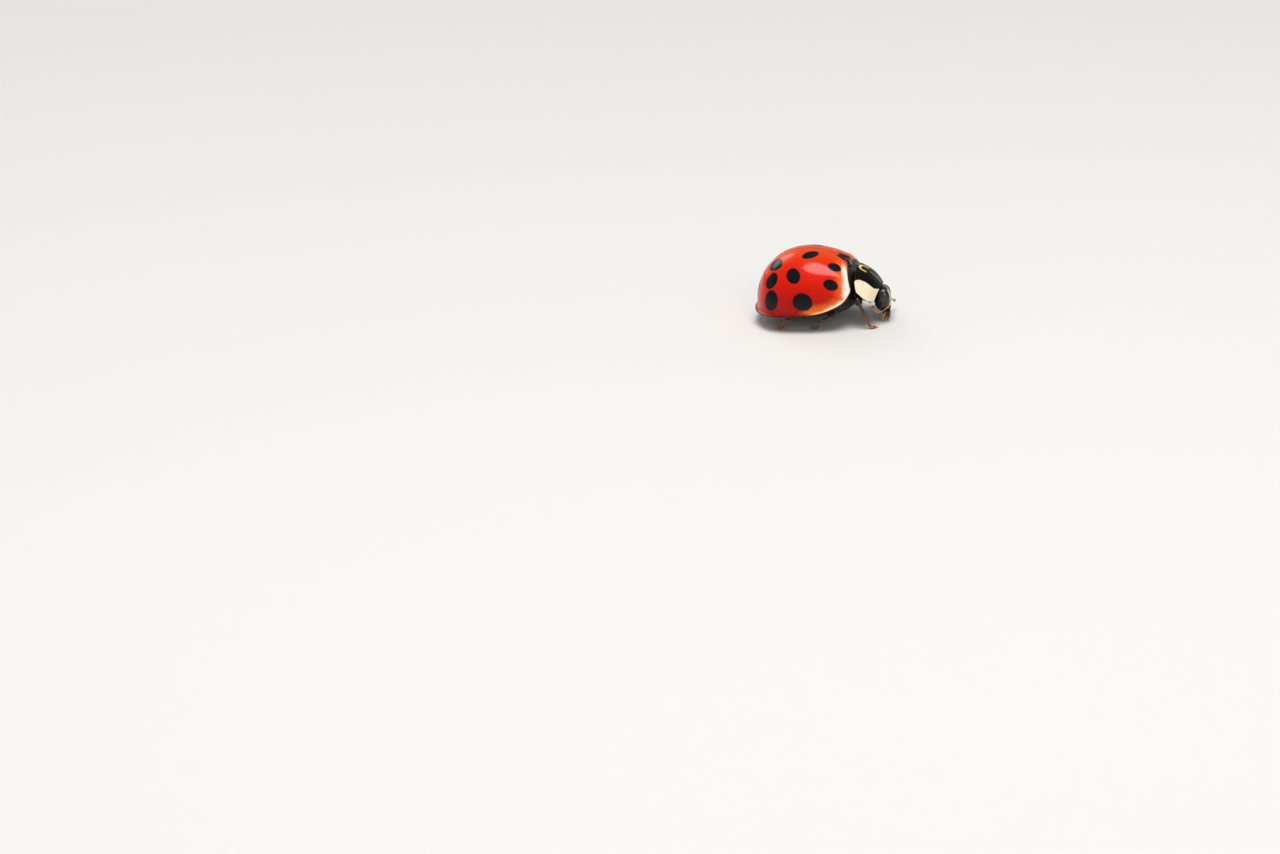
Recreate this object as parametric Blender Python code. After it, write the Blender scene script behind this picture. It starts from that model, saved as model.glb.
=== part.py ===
"""A harlequin ladybird, Harmonia axyridis, at life size, standing with its head stretched down.

World frame: +X to the animal's left, -Y towards its head, +Z up, the floor at Z = 0 under its feet.
The trunk and head are modelled in the trunk's own frame, in which Z = 0 is the plane of the elytra's
edge, Y = 0 is half-way along the elytra and the suture lies in X = 0. The empty "stance" carries that
frame and holds it head-up over the floor. The legs are modelled in the world frame. Lengths are in
millimetres until a mesh is made.
"""
import math

import bmesh
import bpy
import numpy as np

for old in list(bpy.data.objects):
    bpy.data.objects.remove(old, do_unlink=True)

MM = 0.001
GAP = 0.04            # thin cut between neighbouring pieces
WALL = 0.5            # thickness of the wing cases and the prothoracic shield

# stance of the trunk over the floor
PITCH = math.radians(5.0)
LIFT = 1.161
SHIFT = 1.21

# wing cases, taken together
CASE_LENGTH = 5.89
CASE_HALF = 2.92
CASE_HEIGHT = 3.04
WIDEST = 0.527        # fraction of the length, from the base
HIGHEST = 0.457
BASE_WIDTH = 0.748    # of the greatest width
BASE_HEIGHT = 0.686   # of the greatest height
FRONT_TAPER = 2.70    # exponents of the plan outline, before and behind the widest place
REAR_TAPER = 2.63
FRONT_FALL = 2.0      # exponents of the suture's profile, before and behind the highest place
REAR_FALL = 2.19
TIP_ROUND = 2.02
ARCH = 2.328          # exponent of the cross-section
RIM = 0.17            # width of the flat edge
RIM_DEPTH = 0.12
SHOULDER_RISE = 0.653
SHOULDER_END = 0.35   # fraction of the length over which the edge comes down from the shoulders
CORNER_CUT = 0.09     # how far the shoulders' front corners are rounded: in width, as a fraction,
CORNER_RISE = 0.34    # in height,
CORNER_END = 0.10     # and over what fraction of the length
CORNER_POWER = 2.5
SHOULDER_REACH = 0.203
REACH_END = 0.3       # fraction of the length over which the shoulders' forward reach dies away
REACH_FULL = 0.6      # of the half width, where that reach is greatest

# body inside the wing cases
BELLY = 0.72
BELLY_ROUND = 2.4     # exponent of its section
BELLY_CURL = 3        # exponent of the rise of its sides to the shoulders
BELLY_LIFT = 0.45     # share by which the belly is shallower at its front,
BELLY_LIFT_END = 0.20    # and the fraction of the length over which it deepens
BELLY_TAPER = 5       # exponent of its rise towards the tip
COLLAR_HEIGHT = 0.75  # middle of the neck that the thorax holds towards the first segment
COLLAR = ((0.42, 0.62), (0.16, 0.80))   # reach ahead of the elytra and share of the thorax's section
WAIST = 0.517         # where the thorax meets the abdomen, as a fraction of the elytra's length

# scutellum
SCUTELLUM_HALF = 0.27
SCUTELLUM_LENGTH = 0.55

# pronotum, in a frame pitched down about the middle of its hind margin
PRONOTUM_ROOT = (-3.34, 1.76)
PRONOTUM_PITCH = math.radians(45.0)
PRONOTUM_HALF = 1.93
PRONOTUM_LENGTH = 1.74
PRONOTUM_DROP = 0.60         # fall of its corners
PRONOTUM_SAG = 0.18          # and how much further its sides fall between them
PRONOTUM_WALL = 0.42
PRONOTUM_RIM = 0.10          # thickness at its sides
PRONOTUM_CROWN = 0.16        # rise between its hind and front margins
HIND_SWEEP = 0.75            # how far its hind corners stand ahead of the middle
FRONT_HORN = 0.20            # how far its front corners do
HIND_NARROWING = 0.05        # of its width, at the hind corners
FRONT_NARROWING = 0.30       # and at the front corners
NARROWING_POWER = 2.6        # how late that sets in
SWEEP_POWER, HORN_POWER, DROP_POWER = 3.2, 3, 2.3

# first segment below the pronotum: each pair is at its back and at its front
PROTHORAX_SPAN = 0.80        # of the pronotum's width
PROTHORAX_RUN = (0.06, 0.92)     # of the pronotum's length
STERNUM_HALF = (1.25, 1.15)
STERNUM_Y = (-3.00, -4.02)
STERNUM_Z = (-0.12, -0.28)
STERNUM_CURL = (0.50, 0.15)      # rise of its sides
CURL_POWER = 2.5

# head, in the trunk's frame
HEAD_CENTRE = (0.0, -4.54, -0.26)
HEAD_RADII = (0.93, 0.50, 0.74)
HEAD_POWER = 2.35
EYE_CENTRE = (0.80, -4.66, -0.10)
EYE_RADII = (0.24, 0.35, 0.48)
HEAD_TURN = math.radians(10.0)   # to its left, about the neck
HEAD_ROLL = math.radians(9.0)    # left side down, about its middle
NECK = -4.30                     # Y of the neck
HEAD_DRAWN = 0.08                # how far the head is drawn in
HEAD_LOW = 0.05                  # and how far it hangs


def vec(*xyz):
    return np.array(xyz, dtype=float)


def head_turned(points):
    """Points of the head, rolled a little to its left, turned that way about the neck, and drawn in."""
    x, y, z = np.moveaxis(np.asarray(points, dtype=float) - vec(0, NECK, HEAD_CENTRE[2]), -1, 0)
    c, s = math.cos(HEAD_ROLL), math.sin(HEAD_ROLL)
    x, z = x * c + z * s, z * c - x * s + HEAD_CENTRE[2] - HEAD_LOW
    c, s = math.cos(HEAD_TURN), math.sin(HEAD_TURN)
    return np.stack([x * c - y * s, x * s + y * c + NECK + HEAD_DRAWN, z], -1)


def signed_power(value, power):
    return np.sign(value) * np.abs(value) ** power


def material(name, colour, roughness, metallic=0.0):
    made = bpy.data.materials.new(name)
    made.use_nodes = True
    shader = made.node_tree.nodes["Principled BSDF"]
    shader.inputs["Base Color"].default_value = (*colour, 1.0)
    shader.inputs["Roughness"].default_value = roughness
    shader.inputs["Metallic"].default_value = metallic
    made.diffuse_color = (*colour, 1.0)
    return made


def loft(name, rings, finish, parent=None):
    """Closed solid through equal rings of points, each ring closed, its two ends capped by ladders.

    A ring lists one side of a section and comes back along the other, so that point k faces point
    m - 1 - k. Points that coincide are merged, which closes tapered ends and edges.
    """
    rings = np.asarray(rings) * MM
    rows, count, _ = rings.shape
    mesh = bpy.data.meshes.new(name)
    work = bmesh.new()
    points = [[work.verts.new(point) for point in ring] for ring in rings]
    for near, far in zip(points, points[1:]):
        for k in range(count):
            after = (k + 1) % count
            work.faces.new((near[k], near[after], far[after], far[k]))
    for ring in (points[0], points[-1]):
        for k in range(count // 2 - 1):
            work.faces.new((ring[k], ring[k + 1], ring[count - 2 - k], ring[count - 1 - k]))
    bmesh.ops.remove_doubles(work, verts=work.verts, dist=2e-7)
    loose = [edge for edge in work.edges if not edge.link_faces]
    bmesh.ops.delete(work, geom=loose, context="EDGES")
    bmesh.ops.triangulate(work, faces=work.faces)
    bmesh.ops.recalc_face_normals(work, faces=work.faces)
    if work.calc_volume(signed=True) < 0:
        bmesh.ops.reverse_faces(work, faces=work.faces)
    work.to_mesh(mesh)
    work.free()
    mesh.shade_smooth()
    mesh.set_sharp_from_angle(angle=math.radians(50))
    piece = bpy.data.objects.new(name, mesh)
    bpy.context.scene.collection.objects.link(piece)
    piece.data.materials.append(finish)
    piece.parent = parent
    return piece


def carve(piece, *tools):
    """Take each tool's volume out of the piece, then remove the tool."""
    for tool in tools:
        tool.hide_render = True
        tool.display_type = "WIRE"
        cut = piece.modifiers.new("cut", "BOOLEAN")
        cut.operation = "DIFFERENCE"
        cut.solver = "EXACT"
        cut.object = tool
    bpy.context.view_layer.update()
    seen = bpy.context.evaluated_depsgraph_get()
    carved = bpy.data.meshes.new_from_object(piece.evaluated_get(seen))
    piece.modifiers.clear()
    piece.data = carved
    for tool in tools:
        bpy.data.objects.remove(tool, do_unlink=True)
    return piece


# ---------------------------------------------------------------- the trunk's outline

def outline(t):
    """Half width at t along the elytra, as a fraction of the greatest."""
    ahead = np.clip((WIDEST - t) / WIDEST, 0, 1)
    behind = np.clip((t - WIDEST) / (1 - WIDEST), 0, 1)
    corner = CORNER_CUT * np.clip(1 - t / CORNER_END, 0, 1) ** CORNER_POWER
    front = 1 - (1 - BASE_WIDTH) * ahead ** FRONT_TAPER - corner
    rear = np.sqrt(1 - behind ** REAR_TAPER)
    return np.where(t < WIDEST, front, rear)


def ridge(t):
    """Height of the suture at t, as a fraction of the greatest."""
    ahead = np.clip((HIGHEST - t) / HIGHEST, 0, 1)
    behind = np.clip((t - HIGHEST) / (1 - HIGHEST), 0, 1)
    front = 1 - (1 - BASE_HEIGHT) * ahead ** FRONT_FALL
    rear = (1 - behind ** REAR_FALL) ** (1 / TIP_ROUND)
    return np.where(t < HIGHEST, front, rear)


def edge_height(t):
    """Height of the elytra's edge, which rises to the shoulders."""
    corner = CORNER_RISE * np.clip(1 - t / CORNER_END, 0, 1) ** CORNER_POWER
    return SHOULDER_RISE * np.clip(1 - t / SHOULDER_END, 0, 1) ** 2 + corner


def stations(start, stop, count):
    """Fractions along the elytra, closer together towards the tip, where the outline turns."""
    turn = np.linspace(math.asin(start), math.asin(stop), count)
    return np.sin(turn)


def reach_forward(x, t):
    """How far the shoulders stand ahead of the base of the suture."""
    side = np.clip(np.abs(x) / (REACH_FULL * CASE_HALF), 0, 1) ** 2
    return SHOULDER_REACH * side * np.clip(1 - t / REACH_END, 0, 1) ** 1.5


def suture(y):
    """Half width between the elytra: a thin cut, which opens round the scutellum; y is from their base."""
    return GAP / 2 + (SCUTELLUM_HALF + GAP / 2) * np.clip(1 - y / SCUTELLUM_LENGTH, 0, 1)


def dome(t, across, inset, parted=False):
    """Points of the trunk's back at t, from across = 0 at the suture to 1 at the edge, sunk by inset."""
    back = t * (CASE_LENGTH - RIM - inset)
    split = suture(back) if parted else 0.0
    half = np.maximum((CASE_HALF - RIM - inset) * outline(t), split)
    top = CASE_HEIGHT * ridge(t) - inset * ridge(t) ** 0.3
    low = edge_height(t)
    sweep = np.sin(across * math.pi / 2)
    x = split + (half - split) * sweep
    z = low + (top - low) * np.sqrt(1 - np.abs(sweep) ** ARCH)
    y = back - CASE_LENGTH / 2 - reach_forward(x, t)
    return np.stack([x, y, z], -1)


def belly(t, across, inset):
    """Points of the underside, below the same edge as the dome."""
    rim = dome(t, np.sign(across) * 1.0, inset)
    sweep = np.sin(across * math.pi / 2)
    half = np.abs(rim[..., 0])
    lift = 1 - BELLY_LIFT * np.clip(1 - t / BELLY_LIFT_END, 0, 1) ** 2
    deep = BELLY * lift * (1 - t ** BELLY_TAPER) * np.sqrt(1 - np.abs(sweep) ** BELLY_ROUND)
    y = t * (CASE_LENGTH - RIM - inset) - CASE_LENGTH / 2 - reach_forward(half * sweep, t)
    return np.stack([half * sweep, y, edge_height(t) * np.abs(sweep) ** BELLY_CURL - deep], -1)


# ---------------------------------------------------------------- pieces of the trunk

stance = bpy.data.objects.new("stance", None)
stance.location = (0, SHIFT * MM, LIFT * MM)
stance.rotation_euler = (-PITCH, 0, 0)
bpy.context.scene.collection.objects.link(stance)

RED = material("wing_case_red", (0.62, 0.045, 0.012), 0.22)
BROWN_BLACK = material("scutellum_brown_black", (0.035, 0.012, 0.008), 0.25)
CREAM = material("pronotum_cream", (0.82, 0.74, 0.58), 0.30)
BLACK = material("underside_black", (0.012, 0.010, 0.010), 0.35)
EYE_BLACK = material("eye_black", (0.010, 0.010, 0.014), 0.15)
CHESTNUT = material("mouth_chestnut", (0.33, 0.11, 0.035), 0.35)
LEG_BROWN = material("leg_dark_brown", (0.045, 0.018, 0.011), 0.35)
FOOT_BROWN = material("foot_red_brown", (0.26, 0.075, 0.028), 0.40)


def elytron(side, name):
    """One wing case: a domed wall with a flat rim round its outer edge."""
    t = stations(0.0, 1.0, 19)[:, None]
    across = np.linspace(0, 1, 13)[None, :]
    outer = dome(t, across, 0.0, True)
    inner = dome(t, across, WALL, True)
    edge = dome(t, np.ones((1, 1)), -RIM, True)
    top = edge.copy()
    under = edge - vec(0, 0, RIM_DEPTH)
    rings = np.concatenate([outer, top, under, inner[:, ::-1]], axis=1)
    rings = rings * vec(side, 1, 1)
    return loft(name, rings, RED, stance)


elytron(1, "elytron_left")
elytron(-1, "elytron_right")


def scutellum():
    """The small three-cornered plate between the bases of the elytra."""
    length = SCUTELLUM_LENGTH - 2 * GAP
    t = np.linspace(0.0, length / (CASE_LENGTH - RIM), 5)[:, None]
    half = np.clip(suture(t * (CASE_LENGTH - RIM)) - GAP, 0.0, None)
    across = np.array([[-1.0, 0.0, 1.0]])
    centre = dome(t, np.zeros((1, 1)), 0.0)
    top = centre + np.stack([half * across, 0 * half * across, 0 * half * across], -1)
    under = top - vec(0, 0, WALL)
    return loft("scutellum", np.concatenate([top, under[:, ::-1]], axis=1), BROWN_BLACK, stance)


scutellum()


def trunk(name, start, stop, grow=0.0, collar=False):
    """A length of the body inside the elytra, back and belly, with a neck at its front or none."""
    inset = WALL + GAP - grow
    t = stations(start, stop, 8)[:, None]
    across = np.linspace(-1, 1, 15)[None, :]
    back = dome(t, across, inset)
    under = belly(t, across, inset) - vec(0, 0, grow)
    rings = np.concatenate([back, under[:, ::-1]], axis=1)
    if collar:
        centre = vec(0, 0, COLLAR_HEIGHT)
        neck = [centre + (rings[0] - centre) * vec(size, 1, size) - vec(0, ahead, 0)
                for ahead, size in COLLAR]
        rings = np.concatenate([neck, rings])
    return loft(name, rings, BLACK, stance)


# ---------------------------------------------------------------- pronotum, prothorax and collar

def pronotum_frame(x, ahead, proud):
    """Trunk-frame point from one in the pronotum's own frame: sideways, forwards and outwards."""
    c, s = math.cos(PRONOTUM_PITCH), math.sin(PRONOTUM_PITCH)
    y = PRONOTUM_ROOT[0] - ahead * c - proud * s
    z = PRONOTUM_ROOT[1] - ahead * s + proud * c
    return np.stack([x + 0 * y, y, z], -1)


def shield(u, v, inset=0.0, sink=0.0):
    """Points of the pronotum: u from right to left, v from its hind to its front margin."""
    hind = HIND_SWEEP * np.abs(u) ** SWEEP_POWER + inset
    front = PRONOTUM_LENGTH + FRONT_HORN * np.abs(u) ** HORN_POWER - 0.3 * inset
    ahead = hind + (front - hind) * v
    narrower = FRONT_NARROWING * np.clip((v - 0.3) / 0.7, 0, 1) ** NARROWING_POWER
    bulge = 1 - HIND_NARROWING * (1 - v) ** 2 - narrower
    x = (PRONOTUM_HALF - 0.6 * inset) * bulge * u
    lobe = np.sin(math.pi * v)
    proud = PRONOTUM_CROWN * lobe - (PRONOTUM_DROP + PRONOTUM_SAG * lobe) * np.abs(u) ** DROP_POWER - sink
    return pronotum_frame(x, ahead, proud)


def between(pair, v):
    """Value at v on the way from the first of the pair to the second."""
    return pair[0] + (pair[1] - pair[0]) * v


def prothorax(name, grow=0.0):
    """The body of the first segment, between the pronotum and the front legs."""
    u = np.linspace(-1, 1, 13)[None, :]
    v = np.linspace(0, 1, 5)[:, None]
    spread = v + grow * (2 * v - 1)
    run = between(PROTHORAX_RUN, v) + grow * (2 * v - 1)
    roof = shield((PROTHORAX_SPAN + grow) * u, run, PRONOTUM_WALL, PRONOTUM_WALL + GAP)
    x = (between(STERNUM_HALF, v) + grow) * u
    z = between(STERNUM_Z, v) + between(STERNUM_CURL, v) * np.abs(u) ** CURL_POWER - grow
    floor = np.stack([x, between(STERNUM_Y, spread) + 0 * u, z], -1)
    return loft(name, np.concatenate([roof, floor[:, ::-1]], axis=1), BLACK, stance)


def ovoid(name, centre, radii, finish, power=2.0, rows=13, cols=20, grow=0.0, parent=stance):
    """Rounded solid whose sections are superellipses, |x|^p + |y|^p + |z|^p = 1 on scaled axes."""
    lift = np.linspace(-math.pi / 2, math.pi / 2, rows)[:, None]
    turn = (np.arange(cols) / cols * 2 * math.pi)[None, :]
    sharp = 2 / power
    out = np.abs(np.cos(lift)) ** sharp
    unit = np.stack([out * signed_power(np.cos(turn), sharp), out * signed_power(np.sin(turn), sharp),
                     signed_power(np.sin(lift), sharp) + 0 * turn], -1)
    unit[0, :, :2] = 0
    unit[-1, :, :2] = 0
    return loft(name, head_turned(vec(*centre) + unit * (vec(*radii) + grow)), finish, parent)


def head_shape(name, grow=0.0):
    return ovoid(name, HEAD_CENTRE, HEAD_RADII, BLACK, HEAD_POWER, rows=13, cols=18, grow=grow)


def eye_shape(name, side, grow=0.0):
    centre = (side * EYE_CENTRE[0], EYE_CENTRE[1], EYE_CENTRE[2])
    return ovoid(name, centre, EYE_RADII, EYE_BLACK, rows=9, cols=14, grow=grow)


def eye_rooms():
    return [eye_shape("room", side, GAP) for side in (1, -1)]


def pronotum(name, grow=0.0):
    """The shield over the first segment."""
    u = np.linspace(-1, 1, 17)[None, :]
    v = np.linspace(0, 1, 7)[:, None]
    top = shield((1 + grow) * u, v * (1 + 2 * grow) - grow, 0.0, -grow)
    thick = PRONOTUM_RIM + (PRONOTUM_WALL - PRONOTUM_RIM) * (1 - u ** 4)
    under = shield((0.96 + grow) * u, v * (1 + 2 * grow) - grow, thick - 0.02, thick + grow)
    return loft(name, np.concatenate([top, under[:, ::-1]], axis=1), CREAM, stance)


def along(points, parts):
    """Places, directions and length of a smooth curve through the points, at fractions of its length."""
    points = np.asarray(points, dtype=float)
    ends = np.vstack([2 * points[0] - points[1], points, 2 * points[-1] - points[-2]])
    f = np.linspace(0, 1, 17)[:-1, None]
    spans = [0.5 * (2 * b + (c - a) * f + (2 * a - 5 * b + 4 * c - d) * f ** 2
                    + (3 * b - a - 3 * c + d) * f ** 3)
             for a, b, c, d in zip(ends, ends[1:], ends[2:], ends[3:])]
    curve = np.vstack(spans + [points[-1:]])
    run = np.concatenate([[0], np.cumsum(np.linalg.norm(np.diff(curve, axis=0), axis=1))])
    ahead = np.gradient(curve, axis=0)
    ahead /= np.linalg.norm(ahead, axis=1, keepdims=True)
    where = np.asarray(parts) * run[-1]
    place = np.stack([np.interp(where, run, curve[:, k]) for k in range(3)], -1)
    heading = np.stack([np.interp(where, run, ahead[:, k]) for k in range(3)], -1)
    return place, heading / np.linalg.norm(heading, axis=1, keepdims=True), run[-1]


def limb(name, points, radii, finish, parent=None, grow=0.0, sides=10):
    """A round-ended tube through the points, its radius running through the given values.

    With no parent it stands in the world, and whatever of it would lie below the floor is flat.
    """
    first, last = radii[0] + grow, radii[-1] + grow
    length = along(points, [0.0])[2]
    cap = np.array([0.0, 0.3, 0.65]) * math.pi / 2
    start = first * (1 - np.cos(cap)) - grow
    middle = np.linspace(first - grow, length - last + grow, 5)
    stop = length - last * (1 - np.cos(cap[::-1])) + grow
    run = np.concatenate([start, middle, stop])
    inside = np.clip(run / length, 0, 1)
    place, ahead, _ = along(points, inside)
    place += (run - inside * length)[:, None] * ahead
    size = np.interp(inside, np.linspace(0, 1, len(radii)), radii) + grow
    size *= np.concatenate([np.sin(cap), np.ones(5), np.sin(cap[::-1])])
    aside = np.cross(ahead, vec(0.0, 0.3, 1.0))
    aside /= np.linalg.norm(aside, axis=1, keepdims=True)
    upward = np.cross(aside, ahead)
    turn = np.arange(sides) / sides * 2 * math.pi
    ring = np.cos(turn)[None, :, None] * aside[:, None, :] + np.sin(turn)[None, :, None] * upward[:, None, :]
    rings = place[:, None, :] + size[:, None, None] * ring
    if parent is None and grow == 0:
        rings[..., 2] = np.maximum(rings[..., 2], 0.0)
    return loft(name, rings, finish, parent)


# ---------------------------------------------------------------- head and first segment

carve(trunk("thorax", 0.0, WAIST - GAP / (2 * CASE_LENGTH), collar=True),
      prothorax("room", GAP), pronotum("room", GAP))
trunk("abdomen", WAIST + GAP / (2 * CASE_LENGTH), 1.0)
carve(pronotum("pronotum"), head_shape("room", GAP), *eye_rooms())
carve(prothorax("prothorax"), head_shape("room", GAP), *eye_rooms())
carve(head_shape("head"), *eye_rooms())
eye_shape("eye_left", 1)
eye_shape("eye_right", -1)


# ---------------------------------------------------------------- mouth and feelers

MOUTH_CENTRE = (0.0, -4.68, -1.02)
MOUTH_RADII = (0.42, 0.30, 0.36)
MOUTH_POWER = 2.2
PALP_CENTRE = (0.46, -4.42, -1.12)
PALP_RADII = (0.20, 0.26, 0.22)
FEELER_RADII = (0.15, 0.22, 0.22)
LEFT_FEELER = [(0.86, -4.86, -0.50), (1.12, -5.03, -0.60), (1.40, -5.10, -0.70)]
RIGHT_FEELER = [(-0.88, -4.70, -0.70), (-1.04, -4.36, -0.88), (-1.16, -4.12, -0.76), (-1.20, -4.02, -0.52)]


def mouthparts(name, grow=0.0):
    """Upper lip and the two jaws, closed, as one rounded wedge below the face."""
    return ovoid(name, MOUTH_CENTRE, MOUTH_RADII, CHESTNUT, MOUTH_POWER, rows=9, cols=14, grow=grow)


carve(mouthparts("mouthparts"), head_shape("room", GAP))
for side, hand in ((1, "left"), (-1, "right")):
    centre = (side * PALP_CENTRE[0], PALP_CENTRE[1], PALP_CENTRE[2])
    palp = ovoid("palp_" + hand, centre, PALP_RADII, CHESTNUT, rows=9, cols=12)
    carve(palp, head_shape("room", GAP), mouthparts("room", GAP))
for hand, route in (("left", LEFT_FEELER), ("right", RIGHT_FEELER)):
    feeler = limb("antenna_" + hand, head_turned(route), FEELER_RADII, CHESTNUT, stance)
    carve(feeler, head_shape("room", GAP), *eye_rooms())


# ---------------------------------------------------------------- legs

FEMUR_RADII = (0.25, 0.27, 0.22)
TIBIA_RADII = (0.21, 0.22, 0.22)
TARSUS_RADII = (0.22, 0.24, 0.24)
SOLE_HEIGHT = 0.17    # of the tarsus's middle line: less than its radius, so that its sole is flat
FEMUR_ARCH = 0.05     # rise of its middle line

# hip, knee and ankle of the right legs, then the places of heel and toe on the floor
LEGS = {
    "front": ((-0.70, -1.98, 1.44), (-1.94, -2.26, 1.62), (-1.84, -2.72, 0.56),
              (-1.80, -2.86), (-1.66, -3.20)),
    "middle": ((-0.62, -0.05, 0.56), (-2.10, -0.85, 0.92), (-2.24, 0.05, 0.50),
               (-2.16, 0.22), (-1.96, 0.62)),
    "hind": ((-0.78, 1.16, 0.50), (-2.02, 0.98, 0.86), (-2.26, 2.06, 0.54),
             (-2.20, 2.22), (-2.04, 2.62)),
}


def leg_piece(name, pair, side, part, grow=0.0):
    """Femur, tibia or tarsus of one leg."""
    hip, knee, ankle = (np.array(place) * vec(-side, 1, 1) for place in LEGS[pair][:3])
    heel, toe = (vec(-side * x, y, SOLE_HEIGHT) for x, y in LEGS[pair][3:])
    if part == "femur":
        arch = (hip + knee) / 2 + vec(0, 0, FEMUR_ARCH)
        return limb(name, [hip, arch, knee], FEMUR_RADII, LEG_BROWN, grow=grow)
    if part == "tibia":
        return limb(name, [knee, ankle], TIBIA_RADII, LEG_BROWN, grow=grow)
    return limb(name, [ankle, heel, toe], TARSUS_RADII, FOOT_BROWN, grow=grow)


for pair in LEGS:
    for side, hand in ((1, "left"), (-1, "right")):
        end = pair + "_" + hand
        carve(leg_piece("femur_" + end, pair, side, "femur"),
              trunk("room", 0.0, 1.0, GAP, collar=True), prothorax("room", GAP))
        carve(leg_piece("tibia_" + end, pair, side, "tibia"), leg_piece("room", pair, side, "femur", GAP))
        carve(leg_piece("tarsus_" + end, pair, side, "tarsus"), leg_piece("room", pair, side, "tibia", GAP))
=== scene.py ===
"""The looks of the harlequin ladybird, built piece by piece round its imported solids."""
import math

import bmesh
import bpy
import numpy as np
from mathutils import Matrix


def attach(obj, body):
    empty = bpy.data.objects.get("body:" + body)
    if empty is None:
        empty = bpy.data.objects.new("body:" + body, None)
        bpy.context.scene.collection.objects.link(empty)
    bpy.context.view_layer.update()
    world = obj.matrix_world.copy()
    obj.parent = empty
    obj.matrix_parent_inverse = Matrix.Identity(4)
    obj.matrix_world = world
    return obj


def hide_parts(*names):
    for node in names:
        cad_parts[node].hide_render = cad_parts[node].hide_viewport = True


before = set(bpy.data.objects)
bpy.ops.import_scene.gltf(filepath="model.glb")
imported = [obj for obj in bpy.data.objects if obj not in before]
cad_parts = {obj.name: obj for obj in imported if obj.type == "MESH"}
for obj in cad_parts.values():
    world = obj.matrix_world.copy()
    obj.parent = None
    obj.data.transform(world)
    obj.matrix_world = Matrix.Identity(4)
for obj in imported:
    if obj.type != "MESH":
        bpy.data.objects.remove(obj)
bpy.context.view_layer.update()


# ---------------------------------------- floor and light
# A pale sweep of painted board: flat under the animal, curving up all round it into the backdrop.
# A broad round soft box hangs overhead, one stands by the camera and a third lights the far side.

class Socket:
    """One socket of a material. Arithmetic on it adds Math nodes; node() adds any other node."""

    def __init__(self, tree, end):
        self.tree = tree
        self.end = end

    def node(self, kind, settings, sockets, output=0):
        """Adds a node of that type: settings first, then a value or a link for each named socket."""
        made = self.tree.nodes.new(kind)
        for key, value in settings.items():
            setattr(made, key, value)
        for key, value in sockets.items():
            if isinstance(value, Socket):
                self.tree.links.new(value.end, made.inputs[key])
            else:
                made.inputs[key].default_value = value
        return Socket(self.tree, made.outputs[output])

    def math(self, operation, *values):
        """Adds a Math node on these values."""
        return self.node("ShaderNodeMath", {"operation": operation}, dict(enumerate(values)))

    def __add__(self, other):
        return self.math("ADD", self, other)

    def __radd__(self, other):
        return self.math("ADD", other, self)

    def __sub__(self, other):
        return self.math("SUBTRACT", self, other)

    def __rsub__(self, other):
        return self.math("SUBTRACT", other, self)

    def __mul__(self, other):
        return self.math("MULTIPLY", self, other)

    def __rmul__(self, other):
        return self.math("MULTIPLY", other, self)

    def __truediv__(self, other):
        return self.math("DIVIDE", self, other)

    def __pow__(self, other):
        return self.math("POWER", self, other)

    def __abs__(self):
        return self.math("ABSOLUTE", self)

    def least(self, other):
        """The smaller of the two."""
        return self.math("MINIMUM", self, other)

    def most(self, other):
        """The larger of the two."""
        return self.math("MAXIMUM", self, other)

    def rise(self, low, high):
        """0 below low, 1 above high, and a smooth step between."""
        return self.node("ShaderNodeMapRange", {"interpolation_type": "SMOOTHSTEP"},
                         {0: self, 1: low, 2: high})

    def blend(self, first, second):
        """Colour on the way from first to second, by this value."""
        sockets = {0: self, 6: colour(first), 7: colour(second)}
        return self.node("ShaderNodeMix", {"data_type": "RGBA"}, sockets, 2)

    def parts(self):
        """The three numbers of a vector."""
        split = self.node("ShaderNodeSeparateXYZ", {}, {0: self})
        return [Socket(self.tree, end) for end in split.end.node.outputs]

    def noise(self, scale, detail=3.0, roughness=0.55):
        """Cloudy noise about 0, near -0.5 to 0.5, with scale waves to the metre."""
        sockets = {"Vector": self, "Scale": scale, "Detail": detail, "Roughness": roughness}
        return self.node("ShaderNodeTexNoise", {}, sockets) - 0.5

    def cells(self, scale, dimensions="3D"):
        """Distance to the nearest of scattered points, scale of them to each unit of length."""
        settings = {"voronoi_dimensions": dimensions}
        return self.node("ShaderNodeTexVoronoi", settings, {"Vector": self, "Scale": scale})

    def bump(self, depth):
        """Normal of a surface that stands out by this value times depth in metres."""
        return self.node("ShaderNodeBump", {}, {"Strength": 1.0, "Distance": depth, "Height": self})


def colour(value):
    """A socket or a colour of three numbers, ready for a colour socket."""
    return value if isinstance(value, Socket) else (*value, 1.0)


def finish(name, paint, **constants):
    """A material: paint(place, mark) links its sockets, from Object coordinates and a reader of marks."""
    made = bpy.data.materials.new(name)
    made.use_nodes = True
    tree = made.node_tree
    shader = tree.nodes["Principled BSDF"]
    for key, value in constants.items():
        shader.inputs[key.replace("_", " ")].default_value = value
    coordinates = tree.nodes.new("ShaderNodeTexCoord")
    place = Socket(tree, coordinates.outputs["Object"])

    def mark(key):
        """The vector of that name that every point of the mesh carries."""
        return place.node("ShaderNodeAttribute", {"attribute_name": key}, {}, 1)

    for key, value in paint(place, mark).items():
        tree.links.new(value.end, shader.inputs[key])
    return made


# metres: the small disc in its middle, the flat, and the arc that rises from the flat's edge
HUB = 0.004
FLAT = 0.20
CURVE = 0.22
CURVE_ANGLE = math.radians(80)
FLAT_RINGS = 19


def board(place, mark):
    """Nearly even pale paint, with the slightest cloudiness."""
    cloud = place.noise(9.0, 2.0)
    return {"Base Color": (cloud * 0.3 + 0.5).blend((0.80, 0.79, 0.765), (0.86, 0.85, 0.83)),
            "Roughness": cloud * 0.1 + 0.62}


def around(count):
    """Angles spaced evenly round one turn, from 0."""
    return np.linspace(0, 2 * math.pi, count, endpoint=False)


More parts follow.
